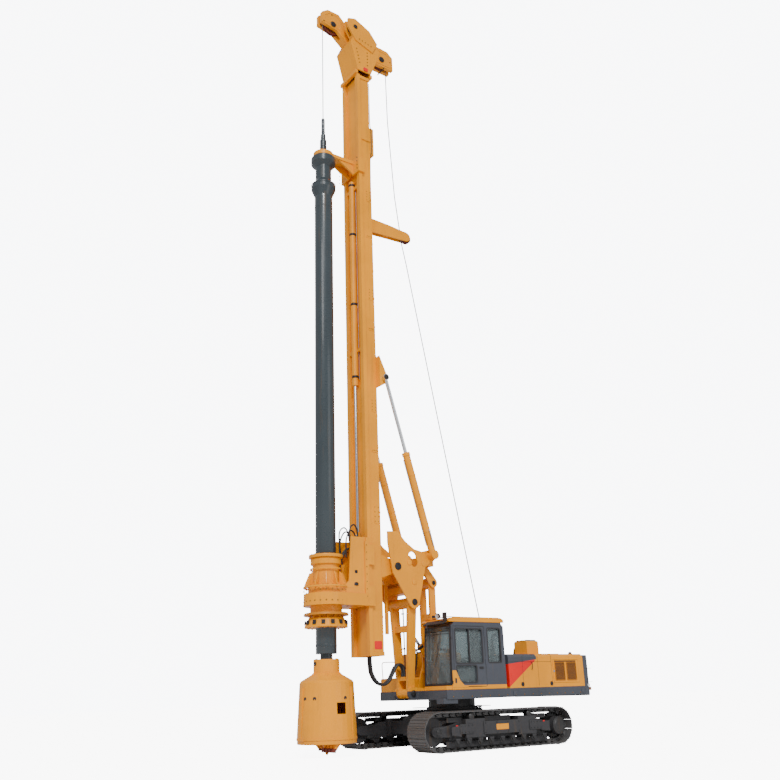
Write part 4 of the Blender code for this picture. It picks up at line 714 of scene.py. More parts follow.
def make_materials(paint):
    yellow, grey, slate, red = (tuple(c) for c in (paint.yellow, paint.grey, paint.slate, paint.red))
    dust = paint.dust
    MATERIALS.update(
        {
            "yellow": weathered("yellow_paint", yellow, dust, 0.28, 0.38, coat=0.08),
            "house": weathered("house_paint", house_colour, dust, 0.20, 0.34, coat=0.12),
            "cab": weathered("cab_paint", cab_colour, dust, 0.22, 0.32, coat=0.3),
            "deck": weathered("deck_paint", deck_colour, dust * 1.2, 0.3, 0.36),
            "grey": weathered("grey_paint", grey, dust * 1.2, 0.25, 0.34, coat=0.2),
            "slate": weathered("slate_paint", slate, dust * 0.4, 0.2, 0.30, 0.0, 0.04, coat=0.4),
            "black": weathered("black_paint", (0.018, 0.018, 0.020), dust * 1.3, 0.45, 0.42, 0.0, 0.08),
            "undercarriage": weathered(
                "undercarriage_paint", (0.034, 0.034, 0.038), dust * 1.2, 0.4, 0.40, 0.0, 0.10
            ),
            "track": weathered(
                "track_steel",
                (0.105, 0.105, 0.108),
                dust * 2.0,
                0.8,
                0.42,
                0.35,
                0.25,
                bare=(0.42, 0.41, 0.40),
            ),
            "red": weathered("red_paint", red, dust, 0.15, 0.34),
            "sheave": weathered("sheave_red", (0.16, 0.030, 0.022), dust, 0.5, 0.42),
            # Yellow darkened to stand for shade: painted shade on the louvre slats and on the drive's underside.
            "painted_shade_yellow": weathered("shaded_yellow", (0.50, 0.17, 0.004), dust, 0.2, 0.45),
            "bolt": weathered("bolt_steel", (0.30, 0.13, 0.012), dust, 0.3, 0.42),
            "steel": weathered("plain_steel", (0.36, 0.36, 0.37), dust, 0.2, 0.34, 0.85),
            "dark_steel": weathered("dark_steel", (0.05, 0.05, 0.052), dust, 0.3, 0.40, 0.7),
            "glass": make_glass(),
            "lamp": make_lamp_glass(),
            "chrome": make_rod_chrome(),
            "rubber": make_rubber(),
            "rope": make_rope_steel(),
            "seat": make_seat_fabric(),
            "plastic": make_plastic("cab_plastic", (0.020, 0.020, 0.022), 0.5),
            "liner": make_plastic("cab_liner", (0.16, 0.16, 0.155), 0.7),
            "screen": make_plastic("monitor_screen", (0.012, 0.022, 0.030), 0.16),
            "white": make_plastic("white_marker", (0.72, 0.72, 0.70), 0.4),
            "amber": make_plastic("amber_lens", (0.75, 0.22, 0.010), 0.2),
        }
    )


# ------------------------------------------------------------------ geometry node trees
def geometry_tree(name, inputs):
    tree = bpy.data.node_groups.new(name, "GeometryNodeTree")
    for label, kind in inputs:
        tree.interface.new_socket(label, in_out="INPUT", socket_type=kind)
    tree.interface.new_socket("Geometry", in_out="OUTPUT", socket_type="NodeSocketGeometry")
    return tree, tree.nodes.new("NodeGroupInput"), tree.nodes.new("NodeGroupOutput")


def end_tree(tree, source, sink, instances):
    """Realizes the instances and gives them the material."""
    solid = tree.nodes.new("GeometryNodeRealizeInstances")
    painted = tree.nodes.new("GeometryNodeSetMaterial")
    tree.links.new(instances, solid.inputs[0])
    tree.links.new(solid.outputs[0], painted.inputs["Geometry"])
    tree.links.new(source.outputs["Material"], painted.inputs["Material"])
    tree.links.new(painted.outputs[0], sink.inputs[0])


def item_geometry(tree, source):
    info = tree.nodes.new("GeometryNodeObjectInfo")
    tree.links.new(source.outputs["Item"], info.inputs["Object"])
    return info.outputs["Geometry"]


def make_ring_tree():
    """Items evenly round a circle, each one's +X pointing outwards."""
    inputs = [
        ("Item", "NodeSocketObject"),
        ("Count", "NodeSocketInt"),
        ("Radius", "NodeSocketFloat"),
        ("Material", "NodeSocketMaterial"),
    ]
    tree, source, sink = geometry_tree("items_on_a_ring", inputs)
    circle = tree.nodes.new("GeometryNodeMeshCircle")
    tree.links.new(source.outputs["Count"], circle.inputs["Vertices"])
    tree.links.new(source.outputs["Radius"], circle.inputs["Radius"])
    aim = tree.nodes.new("FunctionNodeAlignRotationToVector")
    aim.axis = "X"
    aim.pivot_axis = "Z"
    tree.links.new(tree.nodes.new("GeometryNodeInputPosition").outputs[0], aim.inputs["Vector"])
    spread = tree.nodes.new("GeometryNodeInstanceOnPoints")
    tree.links.new(circle.outputs[0], spread.inputs["Points"])
    tree.links.new(item_geometry(tree, source), spread.inputs["Instance"])
    tree.links.new(aim.outputs[0], spread.inputs["Rotation"])
    end_tree(tree, source, sink, spread.outputs[0])
    return tree


def make_row_tree():
    """Items in a straight row, one step apart."""
    inputs = [
        ("Item", "NodeSocketObject"),
        ("Count", "NodeSocketInt"),
        ("Step", "NodeSocketVector"),
        ("Material", "NodeSocketMaterial"),
    ]
    tree, source, sink = geometry_tree("items_in_a_row", inputs)
    line = tree.nodes.new("GeometryNodeMeshLine")
    line.mode = "OFFSET"
    tree.links.new(source.outputs["Count"], line.inputs["Count"])
    tree.links.new(source.outputs["Step"], line.inputs["Offset"])
    spread = tree.nodes.new("GeometryNodeInstanceOnPoints")
    tree.links.new(line.outputs[0], spread.inputs["Points"])
    tree.links.new(item_geometry(tree, source), spread.inputs["Instance"])
    end_tree(tree, source, sink, spread.outputs[0])
    return tree


def make_belt_tree():
    """Items evenly along a closed loop in the XZ plane, each one's +X along the loop."""
    inputs = [
        ("Geometry", "NodeSocketGeometry"),
        ("Item", "NodeSocketObject"),
        ("Count", "NodeSocketInt"),
        ("Material", "NodeSocketMaterial"),
    ]
    tree, source, sink = geometry_tree("items_on_a_belt", inputs)
    curve = tree.nodes.new("GeometryNodeMeshToCurve")
    even = tree.nodes.new("GeometryNodeResampleCurve")
    tree.links.new(source.outputs["Geometry"], curve.inputs["Mesh"])
    tree.links.new(curve.outputs[0], even.inputs["Curve"])
    tree.links.new(source.outputs["Count"], even.inputs["Count"])
    aim = tree.nodes.new("FunctionNodeAlignRotationToVector")
    aim.axis = "X"
    aim.pivot_axis = "Y"
    tree.links.new(tree.nodes.new("GeometryNodeInputTangent").outputs[0], aim.inputs["Vector"])
    spread = tree.nodes.new("GeometryNodeInstanceOnPoints")
    tree.links.new(even.outputs[0], spread.inputs["Points"])
    tree.links.new(item_geometry(tree, source), spread.inputs["Instance"])
    tree.links.new(aim.outputs[0], spread.inputs["Rotation"])
    end_tree(tree, source, sink, spread.outputs[0])
    return tree


TREES = {}


def tree_named(name):
    makers = {"ring": make_ring_tree, "row": make_row_tree, "belt": make_belt_tree}
    if name not in TREES:
        TREES[name] = makers[name]()
    return TREES[name]


def run_tree(name, item, material, base=None, **values):
    """The plain mesh that a tree makes from an item's mesh."""
    tree = tree_named(name)
    holder = bpy.data.objects.new("item", item)
    carrier = bpy.data.objects.new("carrier", base or bpy.data.meshes.new("carrier"))
    scene_objects = bpy.context.scene.collection.objects
    scene_objects.link(holder)
    scene_objects.link(carrier)
    modifier = carrier.modifiers.new("tree", "NODES")
    modifier.node_group = tree
    given = {"Item": holder, "Material": finish_of(material), **values}
    for socket in tree.interface.items_tree:
        if socket.item_type == "SOCKET" and socket.in_out == "INPUT" and socket.name in given:
            modifier[socket.identifier] = given[socket.name]
    carrier.update_tag()
    bpy.context.view_layer.update()
    shaped = carrier.evaluated_get(bpy.context.evaluated_depsgraph_get())
    mesh = bpy.data.meshes.new_from_object(shaped)
    bpy.data.objects.remove(carrier)
    bpy.data.objects.remove(holder)
    return mesh


# ------------------------------------------------------------------ shapes
def turn_to(direction):
    """A rotation that takes +Z to this direction."""
    return Vector((0, 0, 1)).rotation_difference(Vector(direction).normalized()).to_matrix().to_4x4()


def place_at(point, direction=(0, 0, 1)):
    return Matrix.Translation(Vector(point)) @ turn_to(direction)


def smooth(points, steps=6):
    """Points on a smooth curve through the given ones."""
    points = [Vector(p) for p in points]
    knots = [2 * points[0] - points[1]] + points + [2 * points[-1] - points[-2]]
    out = []
    for i in range(1, len(knots) - 2):
        a, b, c, d = knots[i - 1 : i + 3]
        for k in range(steps):
            t = k / steps
            out.append(
                0.5 * (
                    2 * b + (c - a) * t + (
                        2 * a - 5 * b + 4 * c - d
                    ) * t * t + (3 * b - a - 3 * c + d) * t**3
                )
            )
    return out + [points[-1]]


def arc(centre, radius, start, turn, count=8):
    """(a, b) points on an arc, angles in degrees."""
    steps = [radians(start + turn * i / (count - 1)) for i in range(count)]
    return [(centre[0] + radius * cos(t), centre[1] + radius * sin(t)) for t in steps]


def rounded(a0, a1, b0, b1, radius, count=5):
    """A rectangle's outline with round corners."""
    out = []
    for centre, start in (
        ((a1 - radius, b1 - radius), 0),
        ((a0 + radius, b1 - radius), 90),
        ((a0 + radius, b0 + radius), 180),
        ((a1 - radius, b0 + radius), 270),
    ):
        out += arc(centre, radius, start, 90, count)
    return out


class Kit:
    """Shapes gathered into one mesh, in machine coordinates."""

    def __init__(self):
        self.work = bmesh.new()

    def faces(self, points, faces):
        corners = [self.work.verts.new(p) for p in points]
        made = [self.work.faces.new([corners[i] for i in face]) for face in faces]
        bmesh.ops.recalc_face_normals(self.work, faces=made)
        return self

    def prism(self, outline, low, high, axis="Y"):
        place = {
            "Y": lambda a, b, h: (a, h, b), "Z": lambda a, b, h: (a, b, h), "X": lambda a, b, h: (h, a, b)
        }[axis]
        count = len(outline)
        points = [place(a, b, low) for a, b in outline] + [place(a, b, high) for a, b in outline]
        faces = [tuple(range(count)), tuple(range(count, 2 * count))]
        faces += [(i, (i + 1) % count, count + (i + 1) % count, count + i) for i in range(count)]
        return self.faces(points, faces)

    def box(self, x0, x1, y0, y1, z0, z1):
        return self.prism([(x0, z0), (x1, z0), (x1, z1), (x0, z1)], y0, y1)

    def sheet_with_hole(self, outer, inner, low, high, axis="Y"):
        """A plate between an outline and a like one inside it, pushed from low to high."""
        place = {
            "Y": lambda a, b, h: (a, h, b), "Z": lambda a, b, h: (a, b, h), "X": lambda a, b, h: (h, a, b)
        }[axis]
        count = len(outer)
        points = [place(a, b, h) for h in (low, high) for ring in (outer, inner) for a, b in ring]
        faces = []
        for i in range(count):
            j = (i + 1) % count
            faces.append((i, j, count + j, count + i))
            faces.append((2 * count + i, 2 * count + j, 3 * count + j, 3 * count + i))
            faces.append((i, j, 2 * count + j, 2 * count + i))
            faces.append((count + i, count + j, 3 * count + j, 3 * count + i))
        return self.faces(points, faces)

    def lathe(self, profile, centre=(0, 0, 0), direction=(0, 0, 1), segments=32, closed=False):
        """A turned shape. The profile is (radius, height) pairs along the direction."""
        rows = list(profile) if closed else [(0, profile[0][1])] + list(profile) + [(0, profile[-1][1])]
        turn = place_at(centre, direction)
        points, rings = [], []
        for radius, height in rows:
            if radius == 0:
                rings.append([len(points)])
                points.append(turn @ Vector((0, 0, height)))
                continue
            rings.append(list(range(len(points), len(points) + segments)))
            for i in range(segments):
                angle = 2 * pi * i / segments
                points.append(turn @ Vector((radius * cos(angle), radius * sin(angle), height)))
        faces = []
        for low, high in list(zip(rings, rings[1:])) + ([(rings[-1], rings[0])] if closed else []):
            for i in range(segments):
                j = (i + 1) % segments
                faces.append(
                    tuple(
                        dict.fromkeys(
                            (low[i % len(low)], low[j % len(low)], high[j % len(high)], high[i % len(high)])
                        )
                    )
                )
        return self.faces(points, [f for f in faces if len(f) > 2])

    def bar(self, start, end, radius, segments=14):
        start, end = Vector(start), Vector(end)
        return self.lathe([(radius, 0), (radius, (end - start).length)], start, end - start, segments)

    def tube(self, path, radius, segments=10, closed=False):
        """A round tube along a path."""
        path = [Vector(p) for p in path]
        count = len(path)
        side = None
        points = []
        for i, p in enumerate(path):
            before = path[i - 1] if (i or closed) else path[0]
            after = path[(i + 1) % count] if (i < count - 1 or closed) else path[-1]
            ahead = (after - before).normalized()
            if side is None:
                side = ahead.orthogonal().normalized()
            side = (side - ahead * side.dot(ahead)).normalized()
            up = ahead.cross(side)
            for k in range(segments):
                angle = 2 * pi * k / segments
                points.append(p + radius * (cos(angle) * side + sin(angle) * up))
        faces = []
        for i in range(count if closed else count - 1):
            a, b = i * segments, ((i + 1) % count) * segments
            for k in range(segments):
                j = (k + 1) % segments
                faces.append((a + k, a + j, b + j, b + k))
        if not closed:
            faces.append(tuple(range(segments)))
            faces.append(tuple(range((count - 1) * segments, count * segments)))
        return self.faces(points, faces)

    def add(self, mesh, matrix=None):
        """Another mesh, moved by a matrix."""
        before = len(self.work.verts)
        self.work.from_mesh(mesh)
        self.work.verts.ensure_lookup_table()
        if matrix is not None:
            moved = self.work.verts[before:]
            bmesh.ops.transform(self.work, matrix=matrix, verts=moved)
            if matrix.determinant() < 0:
                faces = {f for v in moved for f in v.link_faces}
                bmesh.ops.reverse_faces(self.work, faces=list(faces))
        return self

    def mesh(self, name="shape"):
        made = bpy.data.meshes.new(name)
        self.work.to_mesh(made)
        self.work.free()
        return made

    def finish(self, name, material, body, slot, bevel=0.0, smooth_angle=35.0, replaces=()):
        """The gathered shapes as one piece of the machine that rides on a body."""
        bmesh.ops.transform(self.work, matrix=Matrix.Translation((AXIS_X, 0, 0)), verts=self.work.verts)
        made = bpy.data.objects.new(name, self.mesh(name))
        bpy.context.scene.collection.objects.link(made)
        made.data.materials.clear()
        made.data.materials.append(finish_of(material))
        made.data.shade_smooth()
        made.data.set_sharp_from_angle(angle=radians(smooth_angle))
        if bevel:
            step = made.modifiers.new("edge", "BEVEL")
            step.width = bevel
            step.segments = 2
            step.limit_method = "ANGLE"
            step.angle_limit = radians(40)
            step.harden_normals = True
        if body:
            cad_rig.ride(made, body)
        if replaces:
            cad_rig.replaces(made, *replaces)
        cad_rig.slot(made, slot)
        return made


def hex_bolt(radius, height, washer=True):
    """A hexagon head on its washer, pointing along +Z."""
    kit = Kit()
    if washer:
        kit.lathe([(radius * 1.35, 0), (radius * 1.35, height * 0.2)], segments=12)
    kit.lathe([(radius, height * 0.15), (radius, height * 0.9), (radius * 0.8, height)], segments=6)
    return kit.mesh("bolt")


def bolts_on_ring(kit, centre, direction, count, radius, size, height=None):
    mesh = run_tree("ring", hex_bolt(size, height or size * 0.9), "bolt", Count=count, Radius=radius)
    return kit.add(mesh, place_at(centre, direction))


def bolts_in_row(kit, start, end, direction, count, size, height=None):
    start, end = Vector(start), Vector(end)
    turn = turn_to(direction)
    step = turn.inverted() @ ((end - start) / max(count - 1, 1))
    mesh = run_tree("row", hex_bolt(size, height or size * 0.9), "bolt", Count=count, Step=step)
    return kit.add(mesh, Matrix.Translation(start) @ turn)


def pin_cap(kit, centre, direction, radius, thick=0.025):
    """The keeper plate and bolts on the end of a pin."""
    kit.lathe([(radius, 0), (radius, thick * 0.7), (radius * 0.86, thick)], centre, direction, 24)
    bolts_on_ring(
        kit, Vector(centre) + Vector(direction) * thick, direction, 4, radius * 0.55, radius * 0.14
    )
    return kit


# ------------------------------------------------------------------ painting the frame
NODE_FINISH = {
    "undercarriage": ("carbody", "left_track_frame", "right_track_frame", "left_idler", "right_idler"),
    "dark_steel": ("slew_ring", "left_sprocket", "right_sprocket", "winch_frame"),
    "deck": ("deck",),
    "house": ("engine_house", "left_service_door", "right_service_door", "engine_hood"),
    "grey": ("counterweight",),
    "black": ("engine_block", "winch_drum"),
    "yellow": (
        "hydraulic_tank", "tool_box", "cab_roof", "triangle_frame", "left_tilt_barrel",
        "right_tilt_barrel", "mast", "mast_head", "guide_bracket", "rotary_drive", "drive_bell",
        "boom", "support_link", "luff_barrel", "crowd_barrel", "kelly_guide", "air_cleaner",
        "bucket", "bucket_floor",
    ),
    "cab": ("cab", "cab_door"),
    "glass": ("door_glass", "side_window", "right_window", "rear_window", "windscreen"),
    "chrome": ("luff_rod", "left_tilt_rod", "right_tilt_rod", "crowd_rod"),
    "sheave": ("head_front_sheave", "head_rear_sheave", "head_side_sheave", "guide_sheave"),
    "slate": ("kelly_bar", "kelly_swivel"),
    "rubber": ("mast_hose_1", "mast_hose_2"),
    "seat": ("operator_seat",),
}


def paint_nodes():
    for finish, names in NODE_FINISH.items():
        for name in names:
            NODES[name].data.materials.clear()
            NODES[name].data.materials.append(finish_of(finish))


# ------------------------------------------------------------------ crawlers
PITCH_RADIUS = TRACK_RADIUS - 0.063


def track_shoe(pitch):
    """One shoe with three grousers, its links, pin and bolts. +X is ahead and +Z outwards."""
    half = (TRACK_HIGH.y - TRACK_LOW.y) / 2
    kit = Kit()
    long = pitch / 2
    kit.prism(
        [
            (-long + 0.004, 0.020),
            (long - 0.02, 0.020),
            (long + 0.012, 0.012),
            (long + 0.014, 0.024),
            (long - 0.014, 0.036),
            (-long + 0.004, 0.036),
        ],
        -half,
        half,
    )
    for x, high in ((-long + 0.022, 0.052), (0.0, 0.050), (long - 0.030, 0.052)):
        kit.prism(
            [(x - 0.011, 0.034), (x + 0.011, 0.034), (x + 0.006, high), (x - 0.006, high)],
            -half + 0.006,
            half - 0.006,
        )
    for side in (1, -1):
        outline = arc(
            (long - 0.006, -0.028), 0.048, -90, 180, 7
        ) + arc((-long + 0.006, -0.028), 0.048, 90, 180, 7)
        near = 0.045 + 0.018 * (side > 0)
        kit.prism(outline, side * near, side * (near + 0.034))
        kit.prism([(-0.05, -0.02), (0.05, -0.02), (0.05, 0.024), (-0.05, 0.024)], side * 0.045, side * 0.12)
    kit.bar((long - 0.006, -0.115, -0.028), (long - 0.006, 0.115, -0.028), 0.021, 10)
    return kit.mesh("shoe")


def draw_tracks(shoes):
    length = 4 * WHEEL_X + 2 * pi * PITCH_RADIUS
    shoe = track_shoe(length / shoes)
    loop = arc((WHEEL_X, TRACK_RADIUS), PITCH_RADIUS, 90, -180, 32) + arc(
        (-WHEEL_X, TRACK_RADIUS), PITCH_RADIUS, -90, -180, 32
    )
    for side, name in ((1, "left"), (-1, "right")):
        path = bpy.data.meshes.new("path")
        path.from_pydata(
            [(x, side * TRACK_MIDDLE, z) for x, z in loop],
            [(i, (i + 1) % len(loop)) for i in range(len(loop))],
            [],
        )
        belt = run_tree("belt", shoe, "track", base=path, Count=shoes)
        Kit().add(belt).finish(
            f"{name}_track_shoes", "track", f"{name}_crawler", "track_steel", replaces=(f"{name}_track",)
        )


def draw_crawler_fittings(bolt):
    frame_face = span("left_track_frame")[1].y
    frame_top = span("left_track_frame")[1].z
    for side, name in ((1, "left"), (-1, "right")):
        body = f"{name}_crawler"
        dark, yellow, red, bolts, steel = Kit(), Kit(), Kit(), Kit(), Kit()
        out = (0, side, 0)

        def y(value):
            return side * value

        for x0, x1, z0, z1 in (
            (-0.60, 0.60, 0.36, 0.66), (-1.35, -0.92, 0.40, 0.62), (0.92, 1.35, 0.40, 0.62)
        ):
            dark.prism(rounded(x0, x1, z0, z1, 0.03), y(frame_face - 0.005), y(frame_face + 0.020))
            bolts_in_row(
                bolts,
                (x0 + 0.05, y(frame_face + 0.02), z0 + 0.04),
                (x1 - 0.05, y(frame_face + 0.02), z0 + 0.04),
                out,
                4,
                bolt * 0.6,
            )
            bolts_in_row(
                bolts,
                (x0 + 0.05, y(frame_face + 0.02), z1 - 0.04),
                (x1 - 0.05, y(frame_face + 0.02), z1 - 0.04),
                out,
                4,
                bolt * 0.6,
            )
        yellow.prism(rounded(-0.20, 0.20, 0.45, 0.58, 0.015), y(frame_face + 0.018), y(frame_face + 0.024))
        for x in (-1.46, 1.40):
            red.prism(rounded(x, x + 0.06, 0.44, 0.60, 0.01), y(frame_face - 0.002), y(frame_face + 0.006))
        for i in range(9):
            x = -1.42 + 2.84 * i / 8
            steel.lathe(
                [(0.075, 0), (0.075, 0.014), (0.045, 0.022), (0.045, 0.05), (0.02, 0.056)],
                (x, y(frame_face - 0.03), 0.225),
                out,
                20,
            )
            dark.prism(
                [(x - 0.075, 0.30), (x + 0.075, 0.30), (x + 0.045, 0.21), (x - 0.045, 0.21)],
                y(frame_face - 0.002),
                y(frame_face + 0.012),
            )
        for x in (-0.95, 0.95):
            steel.lathe(
                [(0.07, -0.16), (0.085, -0.155), (0.085, -0.02), (0.06, 0), (0.03, 0.01)],
                (x, y(frame_face + 0.01), frame_top + 0.002),
                out,
                20,
            )
        motor = (-WHEEL_X, y(frame_face - 0.04), TRACK_RADIUS)
        steel.lathe([(0.215, 0), (0.215, 0.03), (0.16, 0.045), (0.15, 0.055), (0.05, 0.06)], motor, out, 32)
        bolts_on_ring(bolts, (motor[0], y(frame_face - 0.01), motor[2]), out, 14, 0.19, bolt * 0.6)
        bolts_on_ring(bolts, (motor[0], y(frame_face + 0.014), motor[2]), out, 6, 0.09, bolt * 0.5)
        idler = (WHEEL_X, y(frame_face - 0.002), TRACK_RADIUS)
        pin_cap(steel, idler, out, 0.085, 0.024)
        for x in (1.30, -1.62):
            dark.prism(
                [(x, 0.34), (x + 0.30, 0.38), (x + 0.30, 0.56), (x, 0.60)],
                y(frame_face - 0.004),
                y(frame_face + 0.010),
            )
        for x0, x1 in ((-1.62, -1.14), (-0.42, 0.42), (1.14, 1.62)):
            dark.prism(
                [(x0, 0.66), (x1, 0.66), (x1, 0.77), (x0, 0.77)],
                y(TRACK_MIDDLE + 0.13),
                y(TRACK_MIDDLE + 0.17),
            )
        near = TRACK_MIDDLE + 0.145
        dark.prism([(-1.66, 0.10), (1.66, 0.10), (1.66, 0.24), (-1.66, 0.24)], y(near), y(near + 0.020))
        dark.finish(f"{name}_frame_plates", "undercarriage", body, "dark_paint", 0.004)
        yellow.finish(f"{name}_blank_plate", "yellow", body, "yellow_paint", 0.001)
        red.finish(f"{name}_red_marks", "red", body, "dark_paint", 0.001)
        bolts.finish(f"{name}_frame_bolts", "dark_steel", body, "dark_paint")
        steel.finish(f"{name}_rollers_and_hubs", "dark_steel", body, "track_steel", 0.003)


def draw_carbody_fittings(bolt):
    dark, bolts, hoses = Kit(), Kit(), Kit()
    top = span("slew_ring")[0].z
    bolts_on_ring(bolts, (0, 0, top + 0.001), (0, 0, 1), 36, 0.645, bolt * 0.8)
    for side in (1, -1):
        for x in (-0.78, 0.78):
            dark.prism(
                [(x - 0.14, 0.98), (x + 0.14, 0.98), (x + 0.14, 0.995), (x - 0.14, 0.995)],
                side * 0.30,
                side * 0.52,
            )
        for k in range(4):
            x = -0.30 - 0.05 * k
            hoses.tube(
                smooth(
                    [
                        (x, side * 0.60, 0.985),
                        (x + 0.02, side * 0.70, 1.00),
                        (x + 0.03, side * 0.68, 0.94),
                        (x + 0.03, side * 0.66, 0.90),
                    ],
                    6,
                ),
                0.016,
                8,
            )
    dark.finish("carbody_pads", "undercarriage", "undercarriage", "dark_paint", 0.003)
    bolts.finish("slew_ring_bolts", "dark_steel", "undercarriage", "dark_paint")
    hoses.finish("travel_motor_hoses", "rubber", "undercarriage", "hose_rubber")


# ------------------------------------------------------------------ upper machine
def louvre_panel(kit, side, x0, x1, z0, z1, face, count=15):
    """Slanted slats in a frame on a side wall, in yellow darkened for painted shade."""
    step = (z1 - z0 - 0.04) / count
    slat = Kit().prism(
        [(0, 0), (0.004, -0.003), (0.026, step * 0.72), (0.022, step * 0.76)], x0 + 0.015, x1 - 0.015, "X"
    ).mesh("slat")
    rows = run_tree("row", slat, "painted_shade_yellow", Count=count, Step=(0, 0, step))
    flip = Matrix.Diagonal((1, side, 1, 1))
    kit.add(rows, Matrix.Translation((0, side * (face - 0.012), z0 + 0.02)) @ flip)
    kit.sheet_with_hole(
        rounded(x0, x1, z0, z1, 0.03),
        rounded(x0 + 0.018, x1 - 0.018, z0 + 0.018, z1 - 0.018, 0.014),
        side * (face - 0.004),
        side * (face + 0.012),
    )


def draw_house(bolt):
    face = SIDE - 0.018
    for side, name in ((1, "left"), (-1, "right")):
        grille, dark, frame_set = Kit(), Kit(), Kit()
        for x0, x1 in ((-3.31, -2.925), (-2.865, -2.48)):
            louvre_panel(grille, side, x0, x1, 1.56, 2.04, face + 0.002)
            # Black sheet behind the slats: painted shade of the opening behind the grille.
            dark.box(x0 + 0.016, x1 - 0.016, side * (face - 0.001), side * (face + 0.0025), 1.576, 2.024)
        dark.box(-3.31, -2.48, side * face, side * (face + 0.006), 2.045, 2.075)
        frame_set.lathe(
            [(0.030, 0), (0.030, 0.006), (0.018, 0.010)], (-2.455, side * face, 1.80), (0, side, 0), 16
        )
        # The grille's slats and frame take the darker yellow: painted shade.
        grille.finish(f"{name}_door_grille", "painted_shade_yellow", f"{name}_service_leaf", "yellow_paint", 0.0015)
        # Painted shade behind the grille slats, and a black strip above the grilles.
        dark.finish(f"{name}_door_backing", "black", f"{name}_service_leaf", "dark_paint", 0.001)
        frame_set.finish(f"{name}_door_lock", "steel", f"{name}_service_leaf", "rod_chrome", 0.001)
    dark, steel, yellow, grey, bolts = Kit(), Kit(), Kit(), Kit(), Kit()
    top = span("engine_hood")[0].z + 0.02
    for side in (1, -1):
        out = (0, side, 0)
        for x in (-2.36, -1.86, -1.30):
            dark.box(
                x - 0.004,
                x + 0.004,
                side * (face - 0.002),
                side * (face + 0.0015),
                FLOOR_OF_HOUSE + 0.02,
                top - 0.04,
            )
        dark.box(-2.36, -0.82, side * (face - 0.002), side * (face + 0.0015), top - 0.20, top - 0.192)
        for x in (-1.26, -2.32):
            dark.lathe(
                [(0.055, 0), (0.055, 0.008), (0.036, 0.010), (0.030, 0.016)],
                (x, side * face, 1.49),
                out,
                24,
            )
        steel.tube(
            smooth(
                [
                    (-1.62, side * face, 1.86),
                    (-1.62, side * (face + 0.04), 1.88),
                    (-1.62, side * (face + 0.04), 2.02),
                    (-1.62, side * face, 2.04),
                ],
                4,
            ),
            0.009,
            8,
        )
        for x in (-3.50, -0.95):
            grey.prism(
                arc((x, 1.30), 0.05, 0, 180, 9) + [(x - 0.05, 1.22), (x + 0.05, 1.22)],
                side * 1.449,
                side * 1.462,
            )
        bolts_in_row(bolts, (-3.4, side * 1.449, 1.24), (1.1, side * 1.449, 1.24), out, 16, bolt * 0.6)
    for x in (-3.41, -2.48):
        yellow.prism(rounded(x, x + 0.03, -0.85, 0.85, 0.01), top + 0.018, top + 0.030, "Z")
    slat = Kit().prism([(0, 0), (0.005, 0), (0.030, 0.018), (0.025, 0.018)], -0.80, 0.80, "Y").mesh("slat")
    dark.add(
        run_tree("row", slat, "black", Count=18, Step=(0.045, 0, 0)),
        Matrix.Translation((-3.36, 0, top + 0.028)),
    )
    dark.lathe([(0.075, 0), (0.075, 0.30), (0.06, 0.34)], (-2.20, -0.72, 2.25), (0, 0, 1), 24)
    steel.tube(
        smooth([(-2.20, -0.72, 2.50), (-2.20, -0.72, 2.72), (-2.26, -0.72, 2.86), (-2.38, -0.72, 2.93)], 6),
        0.045,
        16,
    )
    for y in (0.60, 0.77, 0.94):
        dark.prism([(-2.34, 2.615), (-1.94, 2.615), (-1.96, 2.65), (-2.32, 2.65)], y - 0.02, y + 0.02)
    dark.tube(
        smooth([(-2.14, 0.55, 2.44), (-2.14, 0.36, 2.44), (-2.20, 0.25, 2.36), (-2.20, 0.22, 2.24)], 6),
        0.06,
        16,
    )
    steel.lathe([(0.028, 0), (0.028, 0.05)], (-2.0, 0.53, 2.36), (0, -1, 0), 16)
    for side in (1, -1):
        for x in (-2.30, -1.0):
            bolts_in_row(
                bolts,
                (x, side * 1.40, top - 0.015),
                (x + 0.9, side * 1.40, top - 0.015),
                (0, 0, 1),
                4,
                bolt * 0.6,
            )
    dark.finish("house_seams_and_latches", "black", "upper", "dark_paint", 0.001)
    steel.finish("house_handles_and_exhaust", "dark_steel", "upper", "dark_paint", 0.001)
    yellow.finish("hood_curbs", "yellow", "hood_leaf", "yellow_paint", 0.003)
    grey.finish("tie_down_ears", "grey", "upper", "slate_paint", 0.003)
    bolts.finish("house_bolts", "bolt", "upper", "dark_paint")


